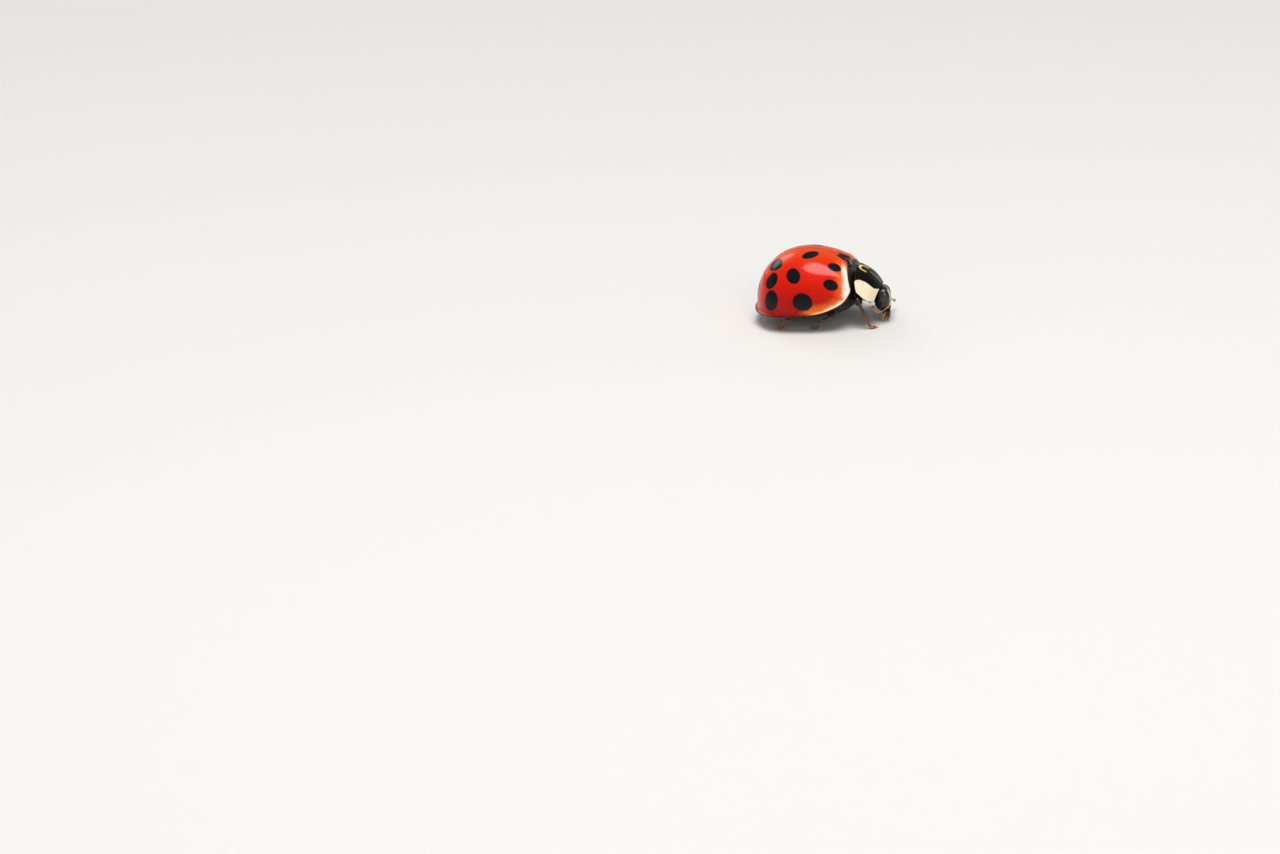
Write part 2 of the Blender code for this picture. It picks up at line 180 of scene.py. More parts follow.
def placed(name, data, columns=None):
    """Puts a mesh, lamp or camera into the scene; columns are its three axes and its place."""
    made = bpy.data.objects.new(name, data)
    if columns is not None:
        made.matrix_world = Matrix(np.vstack([np.stack(columns, axis=1), (0, 0, 0, 1)]).tolist())
    bpy.context.scene.collection.objects.link(made)
    return made


def points_of(x, y, z):
    """Points from their coordinates, each repeated as far as the other two need."""
    return np.stack(np.broadcast_arrays(x, y, z), -1)


def bands(index):
    """The four corners of every face between rings of numbered points, each ring closed."""
    after = np.roll(index, -1, axis=1)
    return np.stack([index[:-1], after[:-1], after[1:], index[1:]], -1).reshape(-1, 4)


def sweep_board():
    """Rings about the vertical: the radius grows evenly to the flat's edge, then goes round an arc."""
    turn = around(96)[None, :]
    arc = np.linspace(0, CURVE_ANGLE, 24)
    flat = np.linspace(HUB, FLAT, FLAT_RINGS + 1)[:-1]
    radius = np.concatenate([flat, FLAT + CURVE * np.sin(arc)])[:, None]
    height = np.concatenate([0 * flat, CURVE * (1 - np.cos(arc))])[:, None]
    grid = points_of(radius * np.cos(turn), radius * np.sin(turn), height)
    index = np.arange(grid[..., 0].size).reshape(grid.shape[:2])
    faces = bands(index)[:, ::-1].tolist() + [index[0].tolist()]
    mesh = bpy.data.meshes.new("floor")
    mesh.from_pydata(grid.reshape(-1, 3).tolist(), [], faces)
    mesh.shade_smooth()
    mesh.materials.append(finish("pale_board", board, Specular_IOR_Level=0.3))
    return placed("floor", mesh)


sweep_board()


# name, place in metres, watts and tint of each lamp
LAMPS = (
    ("overhead", (-0.05, -0.02, 0.25), 0.43, (1.0, 0.985, 0.96)),
    ("camera_side", (-0.26, -0.17, 0.17), 0.16, (1.0, 0.97, 0.93)),
    ("far_side", (0.20, 0.19, 0.16), 0.12, (0.93, 0.96, 1.0)),
)
LAMP_SIZE = 0.16
AIR_TINT = (0.92, 0.95, 1.0, 1.0)
AIR_STRENGTH = 0.25


NO_LENGTH = 1e-12


def unit(vectors):
    """Vectors of length 1, and none where the length is 0."""
    size = np.linalg.norm(vectors, axis=-1, keepdims=True)
    return vectors / np.where(size > NO_LENGTH, size, 1.0)


def soft_box(name, place, power, tint):
    """A round lamp facing the animal."""
    lamp = bpy.data.lights.new(name, "AREA")
    lamp.shape = "DISK"
    lamp.size = LAMP_SIZE
    lamp.energy = power
    lamp.color = tint
    away = unit(np.array(place))
    side = unit(np.cross((0.0, 1.0, 0.02), away))
    placed(name, lamp, [side, np.cross(away, side), away, place])


for lamp in LAMPS:
    soft_box(*lamp)

sky = bpy.data.worlds.new("studio_air")
sky.use_nodes = True
sky.node_tree.nodes["Background"].inputs["Color"].default_value = AIR_TINT
sky.node_tree.nodes["Background"].inputs["Strength"].default_value = AIR_STRENGTH
bpy.context.scene.world = sky
bpy.context.scene.view_settings.view_transform = "Standard"
bpy.context.scene.view_settings.look = "Medium High Contrast"


# ---------------------------------------- camera
# A long lens to the animal's right, a little ahead of it and above, held with a slight roll. It
# is aimed so that the animal shows off the middle of the view.

MM = 0.001
LENS = 150.0
SENSOR = 36.0
VIEW_DEPTH = (0.002, 10.0)  # metres from the lens
FRAME_WIDTH = 73.6  # millimetres across the view at the animal
CAMERA_AZIMUTH = math.radians(-77.17)  # the line of sight to the animal, and the roll about it
CAMERA_ELEVATION = math.radians(19.26)
CAMERA_ROLL = math.radians(-3.38)
AIM = (0.0, 1.21, 1.161)  # a point of the animal, in millimetres,
OFF_CENTRE = (9.55, 7.41)  # and how far right of and above the middle of the view it shows


def turned(first, second, angle):
    """Two axes or coordinates after a turn in their plane, from the first towards the second."""
    c, s = math.cos(angle), math.sin(angle)
    return first * c + second * s, second * c - first * s


def set_camera():
    """The camera looks at the animal, then its axes turn so that the animal lies off the middle."""
    az, el = CAMERA_AZIMUTH, CAMERA_ELEVATION
    back = np.array([math.sin(az) * math.cos(el), -math.cos(az) * math.cos(el), math.sin(el)])
    level = np.array([math.cos(az), math.sin(az), 0.0])
    right, upward = turned(level, np.cross(back, level), CAMERA_ROLL)
    depth = FRAME_WIDTH * LENS / SENSOR
    off = np.array(OFF_CENTRE) / depth
    place = (np.array(AIM) + depth * math.sqrt(1 + off @ off) * back) * MM
    behind = unit(back + off[0] * right + off[1] * upward)
    right = unit(np.cross(upward, behind))
    lens = bpy.data.cameras.new("camera")
    lens.lens = LENS
    lens.sensor_width = SENSOR
    lens.clip_start, lens.clip_end = VIEW_DEPTH
    bpy.context.scene.camera = placed("camera", lens, [right, np.cross(behind, right), behind, place])


set_camera()


# ---------------------------------------- wing cases
# Two hardened fore wings that meet in a straight seam: smooth, finely pitted, orange to deep red, each
# with nine round black spots and half of the one at the seam's base. A thin flat margin runs round
# their edge, and its turned-in underside closes against the body. Their colour carries painted shade
# (the deeper red down the flanks, the margin's dark hind lip) and a painted highlight (its pale front edge).

# the trunk's own frame, in millimetres: Z = 0 is the plane of the wing cases' edge, Y = 0 is half-way
# along them and their seam lies in X = 0
PITCH = math.radians(5.0)
LIFT = 1.161
SHIFT = 1.21

CASE_LENGTH = 5.89
CASE_HALF = 2.92  # greatest half width, and where along the case it lies
WIDEST = 0.527
CASE_HEIGHT = 3.04
HIGHEST = 0.457
BASE_WIDTH = 0.748  # at the front, as shares of the greatest
BASE_HEIGHT = 0.686
FRONT_TAPER = 2.70  # powers of the outline's and the ridge's curves
REAR_TAPER = 2.63
REAR_FALL = 2.19
TIP_ROUND = 2.02
ARCH = 2.328  # power of the superellipse across it
RIM = 0.17  # width of the flat margin
SHOULDER_RISE = 0.653  # how far its edge rises to the front, over this share of the length
SHOULDER_END = 0.35
CORNER_CUT = 0.09  # rounding of the shoulders' front corners, in width and in height
CORNER_RISE = 0.34
CORNER_END = 0.10
CORNER_POWER = 2.5
SHOULDER_REACH = 0.203  # how far the shoulders stand ahead, fading along and across the case
REACH_END = 0.3
REACH_FULL = 0.6
PLATE_HALF = 0.27  # half width and length of the notch that the scutellum fills
PLATE_LENGTH = 0.55
SEAM = 0.006  # half of the gap between the wing cases

CASE_WALL = 0.36
BASE_ROLL = 0.30  # radius of the rounded front edge
SEAM_ROLL = 0.035
GUTTER = 0.12  # radius of the hollow where the dome meets its margin
BEAD = 0.035  # radius of the margin's edge
RIM_START = 0.30  # width of the margin at the shoulder's corner, as a share
RIM_FULL = 0.09  # and where along the case it has all its width
FADE_START = 0.55  # how far out the front edge keeps all its rounding
MARGIN_CURL = (-0.05, 0.02)  # how the margin falls and turns up again, by the first and second power
LIP_DROP = 0.03  # how low its edge lies
FOLD_FALL = 0.06  # and how much lower its underside turns in
INNER_ROLL = 0.12
# height, place behind the base and from the seam, and radius of the swelling over the shoulder
SHOULDER_SWELL = (0.055, 0.62, 2.05, 0.42)
# height, place behind the base and width of the crest and of the dip of the fold ahead of the tip
TIP_FOLD = ((0.040, 5.02, 0.15), (-0.025, 4.68, 0.16))
FOLD_SLANT = 0.10
FOLD_MIDDLE = 1.15  # its middle from the seam, and how far it fades out to each side
FOLD_REACH = 0.75


def fade(distance, reach):
    """1 at distance 0, falling evenly to 0 at the reach."""
    return np.clip(1 - distance / reach, 0, 1)


def quarter_round(distance, radius):
    """Height of a quarter circle, 0 at its edge and 1 from the radius inwards."""
    return np.sqrt(1 - fade(distance, radius) ** 2)


def bell(*shares):
    """A bell curve of the root of the sum of the squares: 1 in the middle, 0.37 at 1."""
    return np.exp(-sum(share ** 2 for share in shares))


def outline(t):
    """Half width at t along the wing cases, as a share of the greatest."""
    ahead = np.clip((WIDEST - t) / WIDEST, 0, 1)
    behind = np.clip((t - WIDEST) / (1 - WIDEST), 0, 1)
    corner = CORNER_CUT * fade(t, CORNER_END) ** CORNER_POWER
    front = 1 - (1 - BASE_WIDTH) * ahead ** FRONT_TAPER - corner
    return np.where(t < WIDEST, front, np.sqrt(1 - behind ** REAR_TAPER))


def ridge(t):
    """Height of the seam at t, as a share of the greatest."""
    ahead = np.clip((HIGHEST - t) / HIGHEST, 0, 1)
    behind = np.clip((t - HIGHEST) / (1 - HIGHEST), 0, 1)
    front = 1 - (1 - BASE_HEIGHT) * ahead ** 2
    return np.where(t < HIGHEST, front, (1 - behind ** REAR_FALL) ** (1 / TIP_ROUND))


def edge_height(t):
    """Height of the wing cases' edge, which rises to the shoulders."""
    corner = CORNER_RISE * fade(t, CORNER_END) ** CORNER_POWER
    return SHOULDER_RISE * fade(t, SHOULDER_END) ** 2 + corner


def reach_forward(x, t):
    """How far the shoulders stand ahead of the base of the seam."""
    side = np.clip(np.abs(x) / (REACH_FULL * CASE_HALF), 0, 1) ** 2
    return SHOULDER_REACH * side * fade(t, REACH_END) ** 1.5


def seam(back):
    """Half width between the wing cases: a hairline that opens round the scutellum towards the base."""
    return SEAM + PLATE_HALF * fade(back, PLATE_LENGTH)


def dome(t, across, inset=0.0, parted=False):
    """Points of the back at t, from 0 at the seam to 1 or -1 at the edge, sunk by inset.

    Each section is a quarter of a superellipse from the ridge's height down to the edge's.
    """
    back = t * (CASE_LENGTH - RIM - inset)
    split = seam(back) if parted else 0.0
    half = np.maximum((CASE_HALF - RIM - inset) * outline(t), split)
    top = CASE_HEIGHT * ridge(t) - inset * ridge(t) ** 0.3
    low = edge_height(t)
    turn = np.sin(across * math.pi / 2)
    x = split + (half - split) * turn
    z = low + (top - low) * np.sqrt(1 - np.abs(turn) ** ARCH)
    return points_of(x, back - CASE_LENGTH / 2 - reach_forward(x, t), z)


def stand(points):
    """World points from points of the trunk's frame, which is held head-up over the floor."""
    x, y, z = np.moveaxis(np.asarray(points, dtype=float), -1, 0)
    y, z = turned(y, z, PITCH)
    return points_of(x, y + SHIFT, z + LIFT)


def facing(grid):
    """Normals of a grid of points: the cross product of its two directions."""
    return unit(np.cross(np.gradient(grid, axis=1), np.gradient(grid, axis=0)))


def roll_off(distance, radius):
    """How far a quarter-round edge of that radius has fallen away, at that distance inside the edge."""
    return radius * (1 - quarter_round(distance, radius))


def shown(name, mesh, material):
    """A smooth piece of the animal in that material, which rides on the whole."""
    mesh.shade_smooth()
    mesh.materials.append(material)
    piece = placed(name, mesh)
    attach(piece, "root")
    return piece


TOGETHER = 3e-8  # metres: points this near become one
SLIVER = 1e-8


def build(name, solids, material, marks, stands_for, poles=False):
    """A piece from closed solids: each is a stack of equal closed rings of world points in millimetres.

    Point k of a ring faces its point m - 1 - k, and rungs between them close the two ends; with poles
    the end rings are single points. Points that coincide become one, and faces end up pointing outwards.
    marks holds named vectors of every point, which the material reads.
    """
    points, faces, start = [], [], 0
    for rings in solids:
        rows, count = rings.shape[:2]
        index = start + np.arange(rows * count).reshape(rows, count)
        faces.append(bands(index))
        if not poles:
            half = count // 2
            for ring in (index[0], index[-1]):
                near, far = ring[:half], ring[::-1][:half]
                faces.append(np.stack([near[:-1], near[1:], far[1:], far[:-1]], -1))
        points.append(rings.reshape(-1, 3))
        start += rows * count
    mesh = bpy.data.meshes.new(name)
    mesh.from_pydata((np.concatenate(points) * MM).tolist(), [], np.concatenate(faces).tolist())
    for key, values in marks.items():
        layer = mesh.attributes.new(key, "FLOAT_VECTOR", "POINT")
        layer.data.foreach_set("vector", np.asarray(values, dtype=np.float32).ravel())
    work = bmesh.new()
    work.from_mesh(mesh)
    bmesh.ops.remove_doubles(work, verts=work.verts, dist=TOGETHER)
    bmesh.ops.dissolve_degenerate(work, edges=work.edges, dist=SLIVER)
    bmesh.ops.recalc_face_normals(work, faces=work.faces)
    if work.calc_volume(signed=True) < 0:
        bmesh.ops.reverse_faces(work, faces=work.faces)
    work.to_mesh(mesh)
    work.free()
    piece = shown(name, mesh, material)
    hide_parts(*stands_for)


# spots of each wing case: distance behind its base and from the seam along the surface, half length,
# half width, and the turn of the long axis outwards from the way back
SPOTS = (
    (0.74, 1.47, 0.37, 0.28, 40),
    (0.92, 2.68, 0.38, 0.30, 30),
    (2.10, 0.88, 0.50, 0.31, 37),
    (2.97, 2.38, 0.50, 0.39, 114),
    (2.52, 3.93, 0.57, 0.51, 0),
    (4.15, 1.08, 0.60, 0.36, 122),
    (4.32, 2.12, 0.50, 0.36, 116),
    (4.40, 3.22, 0.68, 0.39, 112),
    (5.37, 0.98, 0.40, 0.17, 92),
    (0.24, 0.10, 0.50, 0.22, 18),
)


def spot(back, out, spot_back, spot_out, long, wide, turn):
    """Distance from the spot's centre as a share of its radius: 1 on its outline, a turned ellipse."""
    c, s = math.cos(math.radians(turn)), math.sin(math.radians(turn))
    along = (back - spot_back) * (c / long) + (out - spot_out) * (s / long)
    aside = (out - spot_out) * (c / wide) - (back - spot_back) * (s / wide)
    return (along * along + aside * aside) ** 0.5


def wing_case_red(place, mark):
    """Orange along the seam, deepening to red below, with a pale edge to the front and the shoulder.
    The deeper red low on the flanks is painted shade, the pale edge with the orange round it is a
    painted highlight, the dark hind lip of the margin and the darker inner underside are painted
    shade, and the faint blue in the spots' black is a painted reflection.

    The mark "laid" gives the distance behind the base, from the seam and in from the outer edge.
    """
    laid = mark("laid")
    back, out, inward = laid.parts()
    cloud = place.noise(900.0)
    fine = place.noise(6500.0, 2.0)
    # Painted shade: the red deepens from orange at the seam to deep red down the lower flanks.
    top = (out + cloud * 0.9).rise(0.1, 2.1).blend((0.80, 0.085, 0.005), (0.72, 0.020, 0.003))
    body = (out + cloud * 0.9 + back * 0.12).rise(2.6, 4.7).blend(top, (0.42, 0.004, 0.002))
    mottled = cloud * 0.20 + place.noise(2600.0, 4.0) * 0.26
    ahead = back + mottled
    down = inward * 0.85 + (back - 2.0).rise(0.0, 1.3) * 0.5 + mottled
    # Painted highlight: the orange round the edge and the pale cream edge at the front and shoulder (cream,
    # pale) stand for light caught by the margin, whitest at the front.
    orange_highlight_mask = (1 - ahead.rise(0.2, 0.95).least(down.rise(0.18, 0.62))) * out.rise(0.2, 1.2)
    orange = (orange_highlight_mask * 0.85).blend(body, (0.88, 0.22, 0.020))
    lower = down + (back - 0.9).rise(0.0, 1.6) * 0.16
    cream = (1 - ahead.rise(0.22, 0.46).least(lower.rise(0.07, 0.27))) * out.rise(0.55, 1.25)
    pale = (back + mottled).rise(0.5, 2.0).blend((1.0, 0.88, 0.75), (0.90, 0.50, 0.26))
    highlight_edged = cream.blend(orange, pale)
    # Painted shadow: the margin's lip turns dark brown from mid-length back, darkest at its very edge
    # (brim).
    rim_shadow_mask = (1 - inward.rise(0.08, 0.24)) * (back + cloud * 0.5).rise(1.7, 2.7)
    brim = inward.rise(0.02, 0.12).blend((0.035, 0.007, 0.004), (0.20, 0.020, 0.006))
    rim_shadowed = (rim_shadow_mask * 0.9).blend(highlight_edged, brim)
    nearest = spot(back, out, *SPOTS[0])
    for shape in SPOTS[1:]:
        nearest = nearest.least(spot(back, out, *shape))
    ragged = nearest + cloud * 0.22 + fine * 0.09
    fringe = (1 - ragged.rise(0.98, 1.12)).blend(rim_shadowed, (0.30, 0.010, 0.004))
    # The faint blue in the spots' black is a painted reflection.
    black = (1 - ragged.rise(0.95, 1.01)).blend(fringe, (0.006, 0.006, 0.011))
    dark_seam = (1 - out.rise(0.016, 0.062)).blend(black, (0.10, 0.009, 0.005))
    capped = (1 - back.rise(0.01, 0.06)).blend(dark_seam, (0.035, 0.014, 0.008))
    # Painted shade: the margin's turned-in underside darkens further in under the case.
    under = (1 - inward.rise(-0.50, -0.12)).blend((0.26, 0.055, 0.016), (0.05, 0.014, 0.008))
    pit = laid.cells(9.5, "2D").rise(0.06, 0.26)
    relief = (pit * 0.8 + fine * 0.25 + place.noise(2300.0, 2.0) * 0.9).bump(4.5e-6)
    return {
        "Base Color": inward.rise(-0.02, 0.0).blend(under, capped),
        "Roughness": fine * 0.16 + cloud * 0.08 + 0.33,
        "Normal": relief,
    }


CASE_RED = finish("wing_case_red", wing_case_red, Specular_IOR_Level=0.1, Coat_Weight=0.50,
                  Coat_Roughness=0.12, Subsurface_Weight=0.12, Subsurface_Radius=(1.0, 0.25, 0.08),
                  Subsurface_Scale=1.5e-4)


DENSE_END = 0.055  # share of the length that has its rings close together


def run_along(rings):
    """Distance from the first point of each ring to each of its points, along the ring."""
    return np.cumsum(np.linalg.norm(np.diff(rings, axis=1, prepend=rings[:, :1]), axis=2), axis=1)


def wing_case(hand, side):
    """Rings at stations along the case: over the dome from the seam, round the margin, back inside.

    The dome is sunk where its front edge and the seam are rounded, and raised a little over the
    shoulder and along the fold that crosses it ahead of the tip.
    """
    rear = np.sin(np.linspace(math.asin(DENSE_END), math.pi / 2, 120))
    t = np.concatenate([np.linspace(0, DENSE_END, 14)[:-1], rear])[:, None]
    height = np.maximum(dome(t, 0.0 * t, 0.0, True)[..., 2] - edge_height(t), 1e-6)
    narrowed = RIM_START + (1 - RIM_START) * quarter_round(t, RIM_FULL)
    hollow = np.minimum(GUTTER, 0.5 * height) * narrowed
    reach = np.arcsin(np.clip(1 - (hollow / height) ** 2, 0, 1) ** (1 / ARCH)) * 2 / math.pi
    share = np.concatenate([[0, 0.0015, 0.003, 0.006, 0.010], np.linspace(0.016, 1, 96)])[None, :]
    outer = dome(t, share * reach, 0.0, True)
    back = t * (CASE_LENGTH - RIM)
    out = run_along(outer)
    normal = facing(outer)
    normal *= np.sign(normal[..., 2:] + 1e-9)
    swell, swell_back, swell_out, radius = SHOULDER_SWELL
    shoulder = swell * bell((back - swell_back) / radius, (out - swell_out) / radius)
    crease = sum(high * bell((back - place + FOLD_SLANT * out) / wide) for high, place, wide in TIP_FOLD)
    crease = crease * bell((out - FOLD_MIDDLE) / FOLD_REACH)
    fading = 1 - np.clip((share - FADE_START) / (1 - FADE_START), 0, 1) ** 2
    sink = roll_off(back, BASE_ROLL) * fading + roll_off(outer[..., 0] - seam(back), SEAM_ROLL)
    outer = outer + normal * (shoulder + crease - sink)[..., None]

    edge = np.ones((1, 1))
    inner_edge = dome(t, edge, 0.0, True)
    margin_way = (dome(t, edge, -RIM, True) - inner_edge) * narrowed[..., None]
    outer_edge = inner_edge + margin_way
    bead = BEAD * narrowed[..., None]
    wide = np.linalg.norm(outer_edge - inner_edge, axis=-1, keepdims=True)
    level = unit(outer_edge - inner_edge)
    upward = np.array([0.0, 0.0, 1.0])
    arc = np.linspace(0.2, 1, 5)[None, :, None] * math.pi / 2
    fall = hollow[..., None]
    gutter = inner_edge + level * fall * (1 - np.cos(arc)) + upward * fall * (1 - np.sin(arc))
    flat = np.linspace(0.25, 1, 4)[None, :, None]
    curl = MARGIN_CURL[1] * flat ** 2 + MARGIN_CURL[0] * flat
    margin = inner_edge + level * (fall + (wide - fall - bead) * flat) + upward * curl
    arc = np.linspace(0.15, 1, 6)[None, :, None] * math.pi
    lip = outer_edge - level * bead - upward * (LIP_DROP + bead)
    lip = lip + bead * (level * np.sin(arc) + upward * np.cos(arc))
    fold = np.linspace(0.12, 1, 8)[None, :, None]
    below = -upward * (LIP_DROP + 2 * bead + FOLD_FALL * np.sin(fold * math.pi * 0.5) ** 2)
    fold_line = (outer_edge - level * bead) * (1 - fold) + dome(t, edge, CASE_WALL, True) * fold + below
    inner = dome(t, np.linspace(1, 0, 40)[None, :], CASE_WALL, True)
    inner = inner - upward * roll_off(back, INNER_ROLL)[..., None]

    rings = np.concatenate([outer, gutter, margin, lip, fold_line, inner], axis=1)
    run = run_along(rings)
    brim = outer.shape[1] + gutter.shape[1] + margin.shape[1] + 2
    laid = points_of(back, run, run[:, brim:brim + 1] - run)
    build("wing_case_" + hand, [stand(rings * (side, 1, 1))], CASE_RED, {"laid": laid},
          ["elytron_" + hand])


SIDES = (("left", 1), ("right", -1))

for hand, side in SIDES:
    wing_case(hand, side)


# ---------------------------------------- scutellum
# The small three-cornered plate that locks the two wing cases together at the base of their seam,
# brown-black and polished, set in its notch with a hairline round it.

PLATE_GAP = 0.012  # to each wing case
PLATE_POINT = 0.004  # half width of its point
PLATE_START = 0.015
PLATE_SUNK = 0.05
PLATE_CROWN = 0.10
PLATE_WALL = 0.22


def dark_plate(place, mark):
    """Brown-black, finely dimpled."""
    cloud = place.noise(1600.0)
    relief = (place.cells(11000.0).rise(0.1, 0.35) + place.noise(3000.0)).bump(4.0e-6)
    return {"Base Color": (cloud + 0.5).blend((0.010, 0.005, 0.004), (0.055, 0.016, 0.009)),
            "Roughness": cloud * 0.2 + 0.26, "Normal": relief}


def scutellum():
    """Sections from the base to the point: a low crown across the notch, thinning at its edges."""
    back = np.linspace(PLATE_START, PLATE_LENGTH, 40)[:, None]
    half = np.clip(seam(back) - SEAM - PLATE_GAP, PLATE_POINT, None)
    turn = np.linspace(-math.pi / 2, math.pi / 2, 25)[None, :]
    middle = dome(back / (CASE_LENGTH - RIM), 0.0 * back)
    middle[..., 2] -= roll_off(back, BASE_ROLL) + PLATE_SUNK
    crown = PLATE_CROWN * half / PLATE_HALF * np.cos(turn)
    shape = points_of(half * np.sin(turn), 0.0, crown)
    under = middle + shape * (1, 1, 0) - (0, 0, PLATE_WALL)
    rings = np.concatenate([middle + shape, under[:, ::-1]], axis=1)
    brown = finish("scutellum_brown_black", dark_plate, Coat_Weight=0.5, Coat_Roughness=0.08)
    build("scutellum_plate", [stand(rings)], brown, {}, ["scutellum"])


scutellum()


# ---------------------------------------- pronotum
# The shield over the first segment, tipped steeply down with the stretched head. It is one plate with
# a fine raised border: cream at both sides, black between, and in the black a cream loop that opens
# forwards from the middle of the hind margin and a hairline of tan up the middle.

PRONOTUM_ROOT = (-3.34, 1.76)  # Y and Z of the middle of its hind margin
PRONOTUM_PITCH = math.radians(45.0)
PRONOTUM_HALF = 1.93
PRONOTUM_LENGTH = 1.74
PRONOTUM_DROP = 0.60  # fall of its corners
PRONOTUM_SAG = 0.18  # and how much further its sides fall between them
PRONOTUM_CROWN = 0.16
HIND_SWEEP = 0.75  # how far forward its hind and its front corners lie
FRONT_HORN = 0.20
HIND_NARROWING = 0.05  # how much narrower it is at its ends
FRONT_NARROWING = 0.30
SHIELD_EDGE = 0.09  # thickness of its edge and of its middle
SHIELD_MIDDLE = 0.28
SHIELD_ROUND = 0.05  # radius of its rounded edge
SIDE_BEAD = (0.022, 0.06)  # height and width of the raised border
END_BEAD = (0.016, 0.05)
SIDE_GROOVE = (0.016, 0.13, 0.05)  # depth, distance inside the edge and width
DIMPLE = (0.02, 0.62, 0.12, 0.42, 0.16)  # depth, then middle and width across and along
# the black middle: half width, how it widens behind over a length, and narrows ahead of a place
MIDDLE_HALF = 1.16
MIDDLE_BEHIND = (0.33, 0.7)
MIDDLE_AHEAD = (0.33, 1.36, 0.38)
# the loop: middle of its bow from the hind margin, half width of its straight part, radius
LOOP = (0.35, 0.11, 0.23)


def shield(u, v, inset=0.0, sink=0.0):
    """Points of the pronotum: u from -1 on the right to 1, v from 0 at its hind margin to 1.

    In its own plane it is a band between two curved margins, narrowed at its corners; out of it, the
    plate is crowned along the middle and falls away to the sides.
    """
    hind = HIND_SWEEP * np.abs(u) ** 3.2 + inset
    front = PRONOTUM_LENGTH + FRONT_HORN * np.abs(u) ** 3 - 0.3 * inset
    ahead = hind + (front - hind) * v
    bulge = 1 - HIND_NARROWING * (1 - v) ** 2 - FRONT_NARROWING * np.clip((v - 0.3) / 0.7, 0, 1) ** 2.6
    x = (PRONOTUM_HALF - 0.6 * inset) * bulge * u
    lobe = np.sin(math.pi * v)
    proud = PRONOTUM_CROWN * lobe - (PRONOTUM_DROP + PRONOTUM_SAG * lobe) * np.abs(u) ** 2.3 - sink
    c, s = math.cos(PRONOTUM_PITCH), math.sin(PRONOTUM_PITCH)
    y = PRONOTUM_ROOT[0] - ahead * c - proud * s
    z = PRONOTUM_ROOT[1] - ahead * s + proud * c
    return points_of(x, y, z)


def shield_wall(u, v):
    """Thickness of the pronotum: greatest in the middle, thinning to its margins."""
    return SHIELD_EDGE + (SHIELD_MIDDLE - SHIELD_EDGE) * (1 - u ** 4) * np.sin(math.pi * v) ** 0.5


def shield_pattern(place, mark):
    """Cream sides, black middle with its loop and line.

    The mark "laid" gives millimetres from the middle line and from the hind margin, and the outer face.
    """
    laid = mark("laid")
    across, along, outer = laid.parts()
    side = abs(across)
    cloud = place.noise(1300.0)
    fine = place.noise(8000.0, 2.0)
    wider, behind = MIDDLE_BEHIND
    narrower, start, length = MIDDLE_AHEAD
    border = MIDDLE_HALF + (1 - along / behind).most(0) ** 2 * wider
    border = border - ((along - start) / length).most(0) ** 1.5 * narrower
    patch = (side - border + cloud * 0.14 + fine * 0.04).rise(-0.03, 0.03)
    bow = (LOOP[0] - along).most(0)
    arm = (side - LOOP[1]).most(0)
    loop = abs((bow * bow + arm * arm) ** 0.5 - LOOP[2])
    loop = loop + fine * 0.03 + cloud * 0.05 + (along - 0.15) * 0.04
    loop = (1 - loop.rise(0.062, 0.098)) * (1 - (along + cloud * 0.2).rise(0.50, 0.64))
    line = 1 - (side + fine * 0.03).rise(0.018, 0.050)
    line = line * along.rise(0.70, 0.86) * (1 - along.rise(1.60, 1.72))
    black = (cloud + 0.5).blend((0.0035, 0.003, 0.004), (0.009, 0.007, 0.007))
    cream = (cloud * 1.2 + 0.5).blend((0.80, 0.64, 0.44), (0.93, 0.83, 0.67))
    stained = ((place.noise(2600.0, 4.0) - 0.10).rise(0.0, 0.22) * 0.45).blend(cream, (0.68, 0.47, 0.20))
    sides = patch.blend(black, stained)
    looped = loop.blend(sides, (0.86, 0.58, 0.24))
    lined = (line * 0.9).blend(looped, (0.60, 0.43, 0.21))
    pit = laid.cells(11.0, "2D").rise(0.08, 0.28)
    return {
        "Base Color": outer.blend((0.035, 0.02, 0.012), lined),
        "Roughness": patch * 0.10 + fine * 0.12 + 0.26,
        "Normal": (pit * 0.8 + place.noise(2600.0, 2.0) + fine * 0.25).bump(4.5e-6),
    }


def pronotum():
    """Rings from the hind to the front margin: the outer face from right to left, then the inner back."""
    u = np.sin(np.linspace(-1, 1, 121) * math.pi / 2)[None, :]
    v = 0.5 - 0.5 * np.cos(np.linspace(0, math.pi, 90))[:, None]
    thick = shield_wall(u, v)
    from_end = np.minimum(v, 1 - v) * PRONOTUM_LENGTH
    from_side = (1 - np.abs(u)) * PRONOTUM_HALF
    edge = quarter_round(from_end, SHIELD_ROUND) * quarter_round(from_side, SHIELD_ROUND)
    raised = SIDE_BEAD[0] * bell(from_side / SIDE_BEAD[1]) + END_BEAD[0] * bell(from_end / END_BEAD[1])
    raised = raised - SIDE_GROOVE[0] * bell((from_side - SIDE_GROOVE[1]) / SIDE_GROOVE[2])
    deep, across, wide, along, long = DIMPLE
    dimple = deep * bell((np.abs(u) - across) / wide, (v - along) / long)
    top = shield(u, v, 0.0, thick / 2 * (1 - edge) - raised * edge + dimple)
    under = shield(u, v, 0.0, thick - thick / 2 * (1 - edge))
    rings = np.concatenate([top, under[:, ::-1]], axis=1)
    laid = points_of(PRONOTUM_HALF * u, PRONOTUM_LENGTH * v, 1.0)
    marks = np.concatenate([laid, (laid * (1, 1, 0))[:, ::-1]], axis=1)
    glossy = finish("pronotum_cream_and_black", shield_pattern, Specular_IOR_Level=0.1, Coat_Weight=0.35,
                    Coat_Roughness=0.16)
    build("pronotum_shield", [stand(rings)], glossy, {"laid": marks}, ["pronotum"])


pronotum()


# ---------------------------------------- trunk
# The body under the wing cases, in one skin: the black collar that shows behind the tipped shield, the
# breast plates between the legs, and the belly's six overlapping rings, reddish at their sides.

